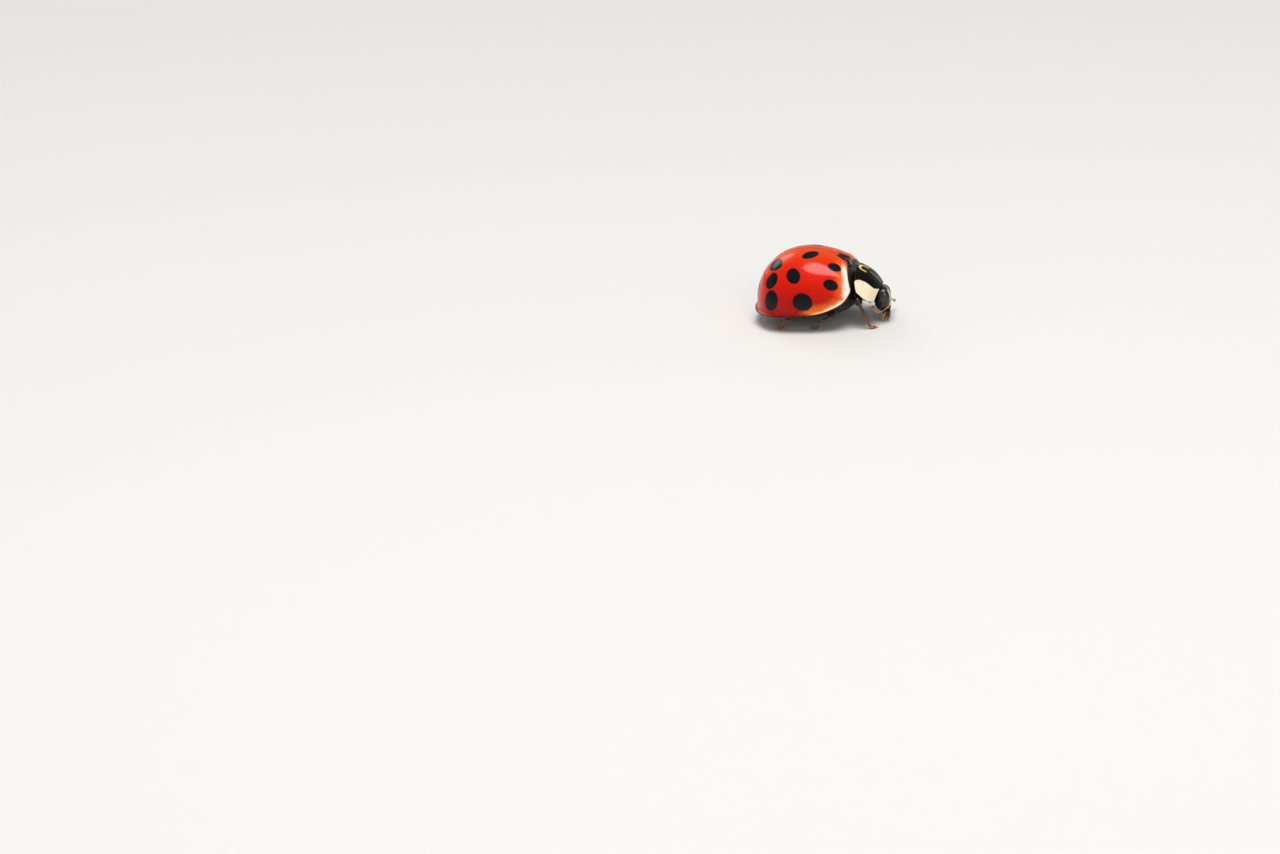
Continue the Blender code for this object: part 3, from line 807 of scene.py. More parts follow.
BELLY = 0.72  # greatest depth
BELLY_ROUND = 2.4  # powers of its section and of its closing at the tip
BELLY_TAPER = 5
BELLY_LIFT = 0.45  # how much shallower it is at its front
BELLY_LIFT_END = 0.20
SKIN_INSET = 0.40  # inside the wing cases' outer face
# ends of the breast plates and belly rings, as shares of the length
PLATE_ENDS = np.array([0.0, 0.262, 0.478, 0.535, 0.635, 0.712, 0.782, 0.850, 0.920, 1.0])
PLATE_BOW = 0.022  # how far back their middles reach
PLATE_SWELL = 0.045
PLATE_STEP = 0.93  # share of a plate where it begins to step down
BREAST_END = 0.478
BREAST_GROOVE = (0.02, 0.035)  # depth and width
TIP_START = 0.92  # share of the length that has evenly spaced rings
COLLAR_LENGTH = 0.62
COLLAR_NARROW = 0.58  # its size at its front, as a share
COLLAR_HEIGHT = 0.75
COLLAR_LUMP = 0.03  # height and number of its lumps
COLLAR_LUMPS = 11


def black_shell(place, mark):
    """Black, shading to red-brown at the belly's sides, shallowly pitted and finely wrinkled.

    The mark "laid" gives the way across, -1 to 1, and the share of the length.
    """
    sideways, along, _ = mark("laid").parts()
    cloud = place.noise(1500.0)
    fine = place.noise(9000.0, 2.0)
    side = (abs(sideways) + cloud * 0.22).rise(0.62, 0.95) * along.rise(0.50, 0.60)
    dark = (cloud + 0.5).blend((0.006, 0.005, 0.005), (0.020, 0.012, 0.009))
    pit = place.cells(8200.0).rise(0.08, 0.36)
    return {"Base Color": (side * 0.9).blend(dark, (0.21, 0.045, 0.014)),
            "Roughness": fine * 0.2 + cloud * 0.1 + 0.33,
            "Normal": (pit * 0.8 + fine * 0.5 + place.noise(3200.0)).bump(7.0e-6)}


SHELL_BLACK = finish("underside_black", black_shell, Specular_IOR_Level=0.3, Coat_Weight=0.4,
                     Coat_Roughness=0.14)


def belly(t, across, inset):
    """Points of the underside: a superellipse below the edge, deepest in front, closing at the tip."""
    rim = dome(t, np.sign(across) * 1.0, inset)
    turn = np.sin(across * math.pi / 2)
    half = np.abs(rim[..., 0])
    lift = 1 - BELLY_LIFT * fade(t, BELLY_LIFT_END) ** 2
    deep = BELLY * lift * (1 - t ** BELLY_TAPER) * np.sqrt(1 - np.abs(turn) ** BELLY_ROUND)
    y = t * (CASE_LENGTH - RIM - inset) - CASE_LENGTH / 2 - reach_forward(half * turn, t)
    return points_of(half * turn, y, edge_height(t) * np.abs(turn) ** 3 - deep)


def trunk_skin():
    """Rings from the collar to the tip: the hidden back, then the underside with its plates.

    Each plate swells towards its hind border and steps down to the next; a groove splits the breast.
    """
    tip = np.sin(np.linspace(math.asin(TIP_START + 0.005), math.pi / 2, 24))
    t = np.concatenate([np.linspace(0, TIP_START, 230), tip])[:, None]
    above = np.linspace(-1, 1, 49)[None, :]
    across = np.linspace(1, -1, 121)[None, :]
    bow = np.cos(across * math.pi / 2)
    under = belly(t, across, SKIN_INSET)
    level = t + PLATE_BOW * bow * np.clip(t / 0.4, 0, 1)
    which = np.clip(np.searchsorted(PLATE_ENDS, level, side="right") - 1, 0, len(PLATE_ENDS) - 2)
    share = np.clip((level - PLATE_ENDS[which]) / (PLATE_ENDS[which + 1] - PLATE_ENDS[which]), 0, 1)
    step = np.sqrt(1 - np.clip((share - PLATE_STEP) / (1 - PLATE_STEP), 0, 1) ** 2)
    swell = PLATE_SWELL * share ** 1.5 * step * bow ** 0.4
    deep, wide = BREAST_GROOVE
    under[..., 2] -= swell - deep * bell(under[..., 0] / wide) * (level < BREAST_END)
    body = np.concatenate([dome(t, above, SKIN_INSET), under], axis=1)
    ahead = np.linspace(1, 0, 16)[:-1, None, None]
    size = COLLAR_NARROW + (1 - COLLAR_NARROW) * (1 - ahead) ** 1.6
    wave = np.sin(np.linspace(0, 2 * COLLAR_LUMPS * math.pi, body.shape[1]))[None, :, None]
    size = size + COLLAR_LUMP * wave * np.sin(ahead * math.pi)
    centre = np.array([0.0, 0.0, COLLAR_HEIGHT])
    neck = centre + (body[:1] - centre) * (size * (1, 0, 1) + (0, 1, 0)) - ahead * (0, COLLAR_LENGTH, 0)
    rings = np.concatenate([neck, body])
    station = np.concatenate([0 * ahead[:, :, 0], t])
    laid = points_of(np.concatenate([above, across], axis=1), station, 0.0)
    build("trunk_skin", [stand(rings)], SHELL_BLACK, {"laid": laid}, ["thorax", "abdomen"])
    return stand(under)


belly_skin = trunk_skin()


# ---------------------------------------- first segment
# The body below the shield, which carries the front legs and holds the head: black, with a keel
# between the legs and a raised lip round the neck opening.

# each at the back and at the front of the breast
BREAST_HALF = (1.25, 1.15)
BREAST_Y = (-3.00, -4.02)
BREAST_Z = (-0.12, -0.28)
BREAST_CURL = (0.50, 0.15)
KEEL = (0.05, 0.12)  # height and half width
NECK_LIP = (0.05, 0.95, 0.04)  # height, place and width
HIP_HOLLOW = (0.06, 0.55, 0.22, 0.30, 0.22)  # depth, then middle and width across and along
ROOF_SHARE = 0.84  # how much of the shield it fills across,
ROOF_SPAN = (0.06, 0.96)  # and from where to where along it


def between(pair, v):
    """Value at v on the way from the first of the pair to the second."""
    return pair[0] + (pair[1] - pair[0]) * v


def first_segment():
    """Rings from back to front: the roof under the shield, then the breast with its keel and lip."""
    u = np.sin(np.linspace(-1, 1, 81) * math.pi / 2)[None, :]
    v = np.linspace(0, 1, 60)[:, None]
    roof_u, roof_v = ROOF_SHARE * u, between(ROOF_SPAN, v)
    roof = shield(roof_u, roof_v, 0.30 * (1 - v), shield_wall(roof_u, roof_v) + 0.01)
    x = between(BREAST_HALF, v) * u
    z = between(BREAST_Z, v) + between(BREAST_CURL, v) * np.abs(u) ** 2.5
    z = z - KEEL[0] * bell(x / KEEL[1]) - NECK_LIP[0] * bell((v - NECK_LIP[1]) / NECK_LIP[2])
    deep, across, wide, along, long = HIP_HOLLOW
    z = z + deep * bell((np.abs(x) - across) / wide, (v - along) / long)
    floor = points_of(x, between(BREAST_Y, v), z)
    ends = quarter_round(np.minimum(v, 1 - v), 0.06)[..., None]
    middle = (roof + floor) / 2
    above = middle + (roof - middle) * (0.98 + 0.02 * ends)
    below = middle + (floor - middle) * (0.85 + 0.15 * ends)
    rings = np.concatenate([above, below[:, ::-1]], axis=1)
    build("first_segment", [stand(rings)], SHELL_BLACK, {"laid": np.zeros(rings.shape)},
          ["prothorax"])
    return stand(floor[:, ::-1])


breast_skin = first_segment()


# ---------------------------------------- head
# A rounded black capsule sunk in the first segment, with a cream mark down each side of the face, a
# narrow brown plate above the lip, a shelf that runs into the front of each eye, and antenna sockets.

HEAD_CENTRE = (0.0, -4.54, -0.26)
HEAD_RADII = (0.93, 0.50, 0.74)
HEAD_POWER = 2.35  # of the superellipsoid
CHEEKS = 0.26  # how much narrower it is at its foot
EYE_CENTRE = (0.80, -4.66, -0.10)
EYE_RADII = (0.24, 0.35, 0.48)
HEAD_TURN = math.radians(10.0)  # to its left, about the neck
HEAD_ROLL = math.radians(9.0)  # left side down, about its middle
NECK = -4.30
HEAD_DRAWN = 0.08  # how far the head is drawn in
HEAD_LOW = 0.05  # and how far it hangs
FACE_DENT = (0.035, 0.28, -0.28, 0.30)  # depth, half width, then middle and half height
FACE_FRONT = (-4.86, -4.72)  # Y over which the marks fade out behind the face
STRIPE = (1.74, -0.20, 0.46)  # the cream mark: distance from the eye in its radii, height, reach


def held(points):
    """World points of the head: rolled about its middle, turned about the neck, drawn in, and stood."""
    x, y, z = np.moveaxis(np.asarray(points, dtype=float) - (0.0, NECK, HEAD_CENTRE[2]), -1, 0)
    x, z = turned(x, z, HEAD_ROLL)
    y, x = turned(y, x, HEAD_TURN)
    return stand(points_of(x, y + NECK + HEAD_DRAWN, z + HEAD_CENTRE[2] - HEAD_LOW))


def face_pattern(place, mark):
    """Black; cream each side of the middle of the face, rust-brown on the plate above the lip."""
    x, y, z = mark("laid").parts()
    cloud = place.noise(1800.0)
    fine = place.noise(9000.0, 2.0)
    side = abs(x)
    front = 1 - y.rise(*FACE_FRONT)
    eye_across = (side - EYE_CENTRE[0]) / EYE_RADII[0]
    round_eye = (eye_across ** 2 + ((z - EYE_CENTRE[2]) / EYE_RADII[2]) ** 2) ** 0.5
    from_eye, height, reach = STRIPE
    stripe = ((round_eye - from_eye) / reach) ** 2 + ((z - height) / reach) ** 2
    stripe = (1 - (stripe + cloud * 0.55 + fine * 0.25).rise(0.86, 1.06)) * front
    brow = (1 - (z + cloud * 0.1).rise(-0.95, -0.78)) * front
    black = (cloud + 0.5).blend((0.0035, 0.003, 0.0035), (0.011, 0.008, 0.007))
    marked = stripe.blend(black, (0.86, 0.74, 0.52))
    pit = place.cells(15000.0).rise(0.10, 0.36)
    return {"Base Color": brow.blend(marked, (0.24, 0.07, 0.018)),
            "Roughness": fine * 0.15 + 0.28,
            "Normal": (pit * 0.7 + fine * 0.4 + place.noise(3500.0)).bump(5.0e-6)}


def signed_power(value, power):
    """The value's size to that power, with the value's sign."""
    return np.sign(value) * np.abs(value) ** power


def ovoid(centre, radii, power=2.0, rows=40, cols=64):
    """Rings of a superellipsoid, lower to upper pole: |x|^p + |y|^p + |z|^p = 1 when scaled."""
    lift = np.linspace(-math.pi / 2, math.pi / 2, rows)[:, None]
    turn = around(cols)[None, :]
    sharp = 2 / power
    out = np.clip(np.cos(lift), 0, 1) ** sharp
    out[[0, -1]] = 0
    rings = points_of(out * signed_power(np.cos(turn), sharp), out * signed_power(np.sin(turn), sharp),
                      signed_power(np.sin(lift), sharp))
    return np.asarray(centre) + rings * np.asarray(radii)


def path(points, shares):
    """Places and headings at shares of the length of a smooth curve through the points (Catmull-Rom)."""
    points = np.asarray(points, dtype=float)
    ends = np.vstack([2 * points[0] - points[1], points, 2 * points[-1] - points[-2]])
    f = np.linspace(0, 1, 33)[:-1, None]
    spans = [0.5 * (2 * b + (c - a) * f + (2 * a - 5 * b + 4 * c - d) * f ** 2
                    + (3 * b - a - 3 * c + d) * f ** 3)
             for a, b, c, d in zip(ends, ends[1:], ends[2:], ends[3:])]
    curve = np.vstack(spans + [points[-1:]])
    run = np.concatenate([[0], np.cumsum(np.linalg.norm(np.diff(curve, axis=0), axis=1))])
    ahead = unit(np.gradient(curve, axis=0))
    where = np.asarray(shares) * run[-1]
    place = np.stack([np.interp(where, run, curve[:, k]) for k in range(3)], -1)
    heading = np.stack([np.interp(where, run, ahead[:, k]) for k in range(3)], -1)
    return place, unit(heading)


def swept(points, sizes, sides=20, stations=28, upward=(0.0, 0.3, 1.0), span=(0.0, 1.0), blunt=0.06):
    """Rings of a solid carried along a smooth curve, between two shares of its length.

    sizes gives half width across and half height, one pair for each of evenly spaced places, and a
    smooth rise joins them. Its ends are rounded over the share blunt and close in a point.
    """
    s = 0.5 - 0.5 * np.cos(np.linspace(0, math.pi, stations))
    place, ahead = path(points, span[0] + (span[1] - span[0]) * s)
    sizes = np.atleast_2d(np.asarray(sizes, dtype=float))
    spot = s * (len(sizes) - 1)
    before = np.clip(spot.astype(int), 0, max(len(sizes) - 2, 0))
    part = np.clip(spot - before, 0, 1)
    part = (part * part * (3 - 2 * part))[:, None]
    size = sizes[before] * (1 - part) + sizes[np.minimum(before + 1, len(sizes) - 1)] * part
    size = size * quarter_round(np.minimum(s, 1 - s), blunt)[:, None]
    aside = unit(np.cross(ahead, upward))
    upright = np.cross(aside, ahead)
    turn = around(sides)[None, :, None]
    across, up = (aside * size[:, :1])[:, None, :], (upright * size[:, 1:])[:, None, :]
    return place[:, None, :] + (np.cos(turn) * across + np.sin(turn) * up)


def mirrored(points, side):
    """The same points on that side of the body: 1 leaves them on the left, -1 takes them to the right."""
    return np.asarray(points, dtype=float) * (side, 1, 1)


def head():
    """The capsule with its cheeks drawn in below, the face plate, the two eye shelves and the sockets."""
    capsule = ovoid(HEAD_CENTRE, HEAD_RADII, HEAD_POWER, 90, 128)
    below = np.clip((HEAD_CENTRE[2] - capsule[..., 2]) / HEAD_RADII[2], 0, 1)
    capsule[..., 0] *= 1 - CHEEKS * below ** 1.5
    front = np.clip((HEAD_CENTRE[1] - capsule[..., 1]) / HEAD_RADII[1], 0, 1)
    deep, wide, height, high = FACE_DENT
    capsule[..., 1] += deep * front * bell(capsule[..., 0] / wide, (capsule[..., 2] - height) / high)
    plate = swept([(0, -4.80, -0.56), (0, -4.88, -0.80), (0, -4.86, -1.01)],
                  [(0.24, 0.10), (0.36, 0.10), (0.33, 0.035)], 40, 30, (0, -1, 0.2), blunt=0.25)
    solids = [capsule, plate]
    for side in (1, -1):
        shelf = mirrored([(0.58, -4.93, -0.36), (0.71, -4.975, -0.32), (0.79, -4.97, -0.30)], side)
        solids.append(swept(shelf, [(0.08, 0.08), (0.05, 0.035), (0.02, 0.014)], 24, 24, blunt=0.3))
        socket = mirrored([(0.64, -4.86, -0.46), (0.69, -4.93, -0.50)], side)
        solids.append(swept(socket, [(0.09, 0.09), (0.07, 0.07)], 24, 16, blunt=0.35))
    laid = np.concatenate([rings.reshape(-1, 3) for rings in solids])
    black = finish("head_black", face_pattern, Specular_IOR_Level=0.3, Coat_Weight=0.5, Coat_Roughness=0.08)
    build("head_capsule", [held(rings) for rings in solids], black, {"laid": laid}, ["head"],
          poles=True)
    return held(capsule)


head_skin = head()


# ---------------------------------------- eyes
# Two large compound eyes bulging at the sides of the head, black with a brown-grey bloom, each made
# of thousands of small lenses packed side by side.

LENSES = 2600
LENS_HEIGHT = 0.0045
LENS_WIDTH = 0.62  # radius of its swelling, as a share of the lenses' spacing


def eye_glass(place, mark):
    """Black with a brown-grey bloom that thickens in uneven clouds."""
    cloud = place.noise(2600.0)
    return {"Base Color": (cloud * 1.4 + 0.5).blend((0.009, 0.007, 0.007), (0.042, 0.034, 0.031)),
            "Roughness": cloud * 0.1 + 0.24}


EYE_BLACK = finish("eye_black", eye_glass, Coat_Weight=0.8, Coat_Roughness=0.12)


def eye(hand, side):
    """An ellipsoid whose surface swells over each lens; the lenses' centres lie on a golden spiral.

    The swelling is a parabola of the distance to the nearest centre, measured on the unit sphere.
    """
    ball = ovoid((0, 0, 0), (1, 1, 1), 2.0, 150, 230)
    turn = np.arange(LENSES)
    height = 1 - 2 * (turn + 0.5) / LENSES
    angle = turn * math.pi * (3 - math.sqrt(5))
    level = np.sqrt(1 - height ** 2)
    centres = np.stack([height, level * np.cos(angle), level * np.sin(angle)]).astype(np.float32)
    points = ball.reshape(-1, 3).astype(np.float32)
    nearest = np.concatenate([(block @ centres).max(axis=1) for block in np.array_split(points, 24)])
    apart = np.sqrt(np.clip(2 - 2 * nearest, 0, None)) / math.sqrt(4 * math.pi / LENSES)
    swell = LENS_HEIGHT * (1 - np.clip(apart / LENS_WIDTH, 0, 1) ** 2).reshape(ball.shape[:2])
    rings = mirrored(EYE_CENTRE, side) + ball * (np.array(EYE_RADII) + swell[..., None])
    build("eye_lenses_" + hand, [held(rings)], EYE_BLACK, {}, ["eye_" + hand], poles=True)


for hand, side in SIDES:
    eye(hand, side)


# ---------------------------------------- mouth
# Below the face: the upper lip, the two jaws closing under it with dark tips, and on each side a
# feeler of four joints whose last is broad and cut off square, like an axe.

def amber(place, mark):
    """Translucent orange-brown horn, darker towards the tips; the mark "tone" gives how dark."""
    tone = mark("tone").parts()[0]
    cloud = place.noise(3200.0)
    pale = (cloud + 0.5).blend((0.50, 0.20, 0.050), (0.72, 0.36, 0.11))
    return {"Base Color": (tone + cloud * 0.25).rise(0.0, 1.0).blend(pale, (0.035, 0.012, 0.006)),
            "Roughness": cloud * 0.15 + 0.32,
            "Normal": place.noise(9000.0, 2.0).bump(3.0e-6)}


AMBER = finish("amber_horn", amber, Coat_Weight=0.35, Coat_Roughness=0.15, Subsurface_Weight=0.15,
               Subsurface_Radius=(1.0, 0.4, 0.12), Subsurface_Scale=6.0e-5)


def horn(name, solids, tones, material, node):
    """A piece of horn solids, each with its tone: a number, or a pair from its first ring to its last."""
    marks = []
    for rings, tone in zip(solids, tones):
        first, last = tone if isinstance(tone, tuple) else (tone, tone)
        marks.append((np.linspace(first, last, len(rings))[:, None, None] + 0 * rings).reshape(-1, 3))
    build(name, solids, material, {"tone": np.concatenate(marks)}, [node], poles=True)


def mouth():
    """Lip, chin and on each side jaw, maxilla and small palp; the jaws curve in to meet below the lip."""
    lip = swept([(0, -4.87, -0.96), (0, -4.88, -1.08), (0, -4.80, -1.20)],
                [(0.27, 0.03), (0.29, 0.035), (0.19, 0.02)], 40, 24, (0, -1, 0.2), blunt=0.25)
    chin = swept([(0, -4.40, -0.92), (0, -4.52, -1.06), (0, -4.60, -1.22)],
                 [(0.25, 0.10), (0.24, 0.10), (0.13, 0.05)], 32, 24, (0, -1, 0.2), blunt=0.25)
    solids, tones = [lip], [(0.90, 0.70)]
    for side in (1, -1):
        jaw_tip = (0.03 * side + 0.05, -4.76, -1.38)
        jaw = [(0.34, -4.70, -0.98), (0.36, -4.74, -1.16), (0.22, -4.78, -1.32), jaw_tip]
        maxilla = [(0.30, -4.56, -0.98), (0.30, -4.54, -1.14), (0.18, -4.60, -1.28)]
        small_palp = [(0.08, -4.62, -1.20), (0.14, -4.58, -1.34), (0.17, -4.62, -1.42)]
        for line, sizes, sides, stations, blunt, tone in (
            (jaw, [(0.12, 0.11), (0.12, 0.11), (0.07, 0.08), (0.015, 0.02)], 24, 36, 0.16, (0.70, 1.15)),
            (maxilla, [(0.11, 0.11), (0.09, 0.10), (0.04, 0.05)], 20, 24, 0.25, 0.65),
            (small_palp, [(0.035, 0.035), (0.03, 0.03), (0.035, 0.03)], 14, 18, 0.06, 0.15),
        ):
            solids.append(swept(mirrored(line, side), sizes, sides, stations, blunt=blunt))
            tones.append(tone)
    solids = [held(rings) for rings in solids + [chin]]
    horn("lip_and_jaws", solids, tones + [0.75], AMBER, "mouthparts")


mouth()


def palp(hand, side):
    """Three round joints, each swelling to its end, and the flat axe-shaped fourth."""
    knots = [(0.30, -4.60, -0.98), (0.42, -4.64, -1.04), (0.50, -4.58, -1.14), (0.50, -4.48, -1.22)]
    solids = [swept(mirrored(pair, side), [(0.04, 0.04), (0.05, 0.05), (0.06, 0.055)], 18, 16, blunt=0.2)
              for pair in zip(knots, knots[1:])]
    axe = mirrored([(0.50, -4.49, -1.21), (0.48, -4.45, -1.30), (0.46, -4.42, -1.38)], side)
    solids.append(swept(axe, [(0.05, 0.05), (0.075, 0.055), (0.12, 0.045)], 28, 24, (0, 1, 0.3), blunt=0.10))
    horn("palp_joints_" + hand, [held(rings) for rings in solids], [0.1, 0.05, 0.05, (0.05, 0.45)], AMBER,
         "palp_" + hand)


for hand, side in SIDES:
    palp(hand, side)


# ---------------------------------------- antennae
# Each has eleven joints: a stout first, then slender ones, the last three swelling into a club. The
# left is held out in front; the right is folded back below the eye.

# length as a share of the whole, and greatest radius, of each joint
FEELER_JOINTS = (
    (0.15, 0.052), (0.10, 0.044), (0.14, 0.030), (0.08, 0.028), (0.08, 0.028), (0.07, 0.028),
    (0.07, 0.031), (0.06, 0.038), (0.09, 0.066), (0.08, 0.082), (0.08, 0.066),
)
CLUB = 8  # the club's first joint
JOINT_OVERLAP = 0.008
LEFT_FEELER = [(0.68, -4.90, -0.49), (0.84, -5.00, -0.53), (1.16, -5.06, -0.61), (1.50, -5.13, -0.74)]
RIGHT_FEELER = [(-0.68, -4.90, -0.49), (-0.88, -4.84, -0.68), (-1.04, -4.36, -0.90), (-1.17, -4.10, -0.76),
                (-1.20, -3.98, -0.44)]


def feeler(hand, route):
    """Joint after joint along the route, narrow at its root and rounded at its end; the club is darker."""
    ends = np.cumsum([0.0] + [share for share, radius in FEELER_JOINTS])
    ends = ends / ends[-1]
    solids, tones = [], []
    for k, (share, radius) in enumerate(FEELER_JOINTS):
        sizes = radius * np.array([(0.55, 0.55), (0.92, 0.85), (1, 0.9), (0.9, 0.9)])
        span = (ends[k] - (JOINT_OVERLAP if k else 0.0), ends[k + 1])
        solids.append(held(swept(route, sizes, 20, 18, span=span, blunt=0.14)))
        tones.append(0.10 if k < CLUB else 0.25 + 0.12 * (k - CLUB))
    horn("antenna_joints_" + hand, solids, tones, AMBER, "antenna_" + hand)
    return solids


feeler_skins = feeler("left", LEFT_FEELER) + feeler("right", RIGHT_FEELER)


# ---------------------------------------- legs
# Six legs, each of a ball-shaped hip joint, a thick thigh notched at the knee, a slender shin with
# two short spurs, and a foot of padded joints that ends in two toothed claws. The thighs are black
# turning brown at the knee, the shins brown to red-brown, the feet redder, the claws amber.

# hip, knee and ankle of the right legs, then the places of heel and toe on the floor
LEGS = {
    "front": ((-0.70, -1.98, 1.44), (-1.94, -2.26, 1.62), (-1.84, -2.72, 0.56), (-1.80, -2.86, 0.0),
              (-1.66, -3.20, 0.0)),
    "middle": ((-0.62, -0.05, 0.56), (-2.10, -0.85, 0.92), (-2.24, 0.05, 0.50), (-2.16, 0.22, 0.0),
               (-1.96, 0.62, 0.0)),
    "hind": ((-0.78, 1.16, 0.50), (-2.02, 0.98, 0.86), (-2.26, 2.06, 0.54), (-2.20, 2.22, 0.0),
             (-2.04, 2.62, 0.0)),
}
THIGH_ARCH = 0.05
SHIN_BOW = 0.03
FLOOR = 0.0
SOCKET_SIDE = 0.50  # how far out the hip's socket lies, as a share of the hip's own place,
SOCKET_RISE = 0.05  # and how much higher
THIGH_START = 0.10  # shares of the way from hip to knee where the thigh begins and the link ends
LINK_END = 0.20
KNEE_NOTCH = (0.30, 0.60, 0.16)  # depth as a share, where it begins, half width in half turns
FRONT_THIGH = np.linspace(1.05, 1.45, 4)[:, None]  # how much stouter the front legs are
FRONT_SHIN = 1.15


def leg_horn(place, mark):
    """Black-brown to red-brown horn by the mark "tone", 0 amber, 0.5 red-brown and 1 black."""
    tone = mark("tone").parts()[0]
    cloud = place.noise(3600.0)
    fine = place.noise(12000.0, 2.0)
    pale = (tone + cloud * 0.2).rise(0.0, 0.5).blend((0.60, 0.30, 0.10), (0.22, 0.055, 0.018))
    dark = (tone + cloud * 0.25).rise(0.45, 0.95).blend(pale, (0.012, 0.008, 0.007))
    return {"Base Color": dark, "Roughness": fine * 0.2 + 0.30,
            "Normal": (place.cells(14000.0).rise(0.1, 0.4) * 0.5 + fine).bump(4.0e-6)}


LEG_HORN = finish("leg_horn", leg_horn, Coat_Weight=0.45, Coat_Roughness=0.12)


def thigh(hip, knee, stout):
    """Swollen past its middle and flattened, with a slight arch and a notched, two-lobed end."""
    bend = (hip + knee) / 2 + (0, 0, THIGH_ARCH)
    sizes = np.array([(0.12, 0.15), (0.18, 0.22), (0.18, 0.23), (0.135, 0.175)]) * stout
    rings = swept([hip, bend, knee], sizes, 48, 60, blunt=0.16)
    end = np.linspace(0, 1, len(rings))[:, None]
    deep, start, wide = KNEE_NOTCH
    groove = deep * np.clip((end - start) / (1 - start), 0, 1) ** 1.2
    groove = groove * bell((around(rings.shape[1])[None, :] / math.pi - 1.5) / wide)
    middle = rings.mean(axis=1, keepdims=True)
    return middle + (rings - middle) * (1 - groove)[..., None]


def shin(knee, ankle, outward, stout):
    """Narrow at the knee, widening to the ankle, a little bowed."""
    bend = (knee + ankle) / 2 + outward * SHIN_BOW
    sizes = np.array([(0.085, 0.095), (0.075, 0.085), (0.085, 0.10), (0.09, 0.11)]) * stout
    return swept([knee, bend, ankle], sizes, 28, 40, upward=outward, blunt=0.05)


def foot(ankle, heel, toe):
    """The pads, which are two broad joints, the second in two lobes, and the claw joint; and the claws.

    Their lines go from heel to toe, sideways and up; what would go below the floor stops there.
    """
    step = unit(toe - heel)
    up = np.array([0.0, 0.0, 1.0])
    first = swept([ankle, (ankle + heel) / 2 + up * 0.01, heel + up * 0.10],
                  [(0.05, 0.05), (0.07, 0.06), (0.10, 0.07)], 24, 24, blunt=0.12)
    length = np.linalg.norm(toe - heel)
    aside = unit(np.cross(step, up))
    middle = heel + step * 0.05 * length
    solids = [first]
    for way in (1, -1):
        lobe = [middle + up * 0.11, middle + step * 0.10 + aside * way * 0.025 + up * 0.075,
                middle + step * 0.25 + aside * way * 0.047 + up * 0.05]
        solids.append(swept(lobe, [(0.05, 0.045), (0.055, 0.045), (0.042, 0.035)], 20, 22, blunt=0.2))
    claw_root = heel + step * length * 0.86 + up * 0.075
    claw_joint = [middle + step * 0.04 + up * 0.13, middle + step * 0.20 + up * 0.15, claw_root]
    solids.append(swept(claw_joint, [(0.030, 0.030), (0.032, 0.032), (0.045, 0.042)], 18, 26, blunt=0.12))
    claws = []
    for way in (1, -1):
        spread = aside * way
        hook = [claw_root - step * 0.02, claw_root + step * 0.06 + spread * 0.045 + up * 0.012,
                claw_root + step * 0.12 + spread * 0.075 - up * 0.012,
                claw_root + step * 0.145 + spread * 0.085 - up * 0.066]
        hook_sizes = [(0.024, 0.026), (0.021, 0.023), (0.014, 0.016), (0.004, 0.005)]
        claws.append(swept(hook, hook_sizes, 14, 26))
        tooth = [claw_root + step * 0.03 + spread * 0.03,
                 claw_root + step * 0.07 + spread * 0.05 - up * 0.05]
        claws.append(swept(tooth, [(0.020, 0.020), (0.005, 0.006)], 12, 14))
    for rings in solids + claws:
        rings[..., 2] = np.maximum(rings[..., 2], FLOOR)
    return solids, claws


def leg(pair, hand, side):
    """The pieces of one leg, mirrored from the right one."""
    hip, knee, ankle, heel, toe = (mirrored(point, -side) for point in LEGS[pair])
    thigh_stout, shin_stout = (FRONT_THIGH, FRONT_SHIN) if pair == "front" else (1.0, 1.0)
    end = pair + "_" + hand
    socket = hip * (SOCKET_SIDE, 1, 1) + (0, 0, SOCKET_RISE)
    hip_ball = swept([socket, hip], [(0.20, 0.14), (0.22, 0.17), (0.15, 0.14)], 32, 26, blunt=0.35)
    reach = knee - hip
    link = swept([hip - reach * 0.02, hip + reach * LINK_END], [(0.13, 0.13), (0.12, 0.13)], 24, 18,
                 blunt=0.4)
    upper = [thigh(hip + reach * THIGH_START, knee, thigh_stout), hip_ball, link]
    horn("thigh_" + end, upper, [(1.1, 0.80), 1.1, 0.9], LEG_HORN, "femur_" + end)
    outward = unit(knee - (hip + ankle) / 2)
    down = unit(ankle - knee)
    lower = [shin(knee, ankle, outward, shin_stout)]
    for way in (1, -1):
        aside = unit(np.cross(ankle - knee, outward)) * way
        spur = [ankle - down * 0.03 + aside * 0.05, ankle + down * 0.09 + aside * 0.085 - outward * 0.02]
        lower.append(swept(spur, [(0.016, 0.016), (0.012, 0.012), (0.003, 0.003)], 10, 12))
    horn("shin_" + end, lower, [(0.95, 0.56), 0.3, 0.3], LEG_HORN, "tibia_" + end)
    pads, claws = foot(ankle, heel, toe)
    tones = [(0.52, 0.38)] + [0.32] * (len(pads) - 1) + [0.08] * len(claws)
    horn("foot_" + end, pads + claws, tones, LEG_HORN, "tarsus_" + end)
    return upper[0], lower[0], pads


leg_skins = [leg(pair, hand, side) for pair in LEGS for hand, side in SIDES]


# ---------------------------------------- hairs
# Short pale hairs lie back along the belly and breast, stand on the legs, thickest on the pads of
# the feet, and dust the head and antennae. The wing cases and shield are bare.

def hair_gold(place, mark):
    """Straw to fawn, changing from tuft to tuft."""
    cloud = place.noise(5000.0)
    return {"Base Color": (cloud * 1.6 + 0.5).blend((0.28, 0.18, 0.09), (0.62, 0.50, 0.32)),
            "Roughness": cloud * 0.2 + 0.42}


HAIR_GOLD = finish("hair_gold", hair_gold)


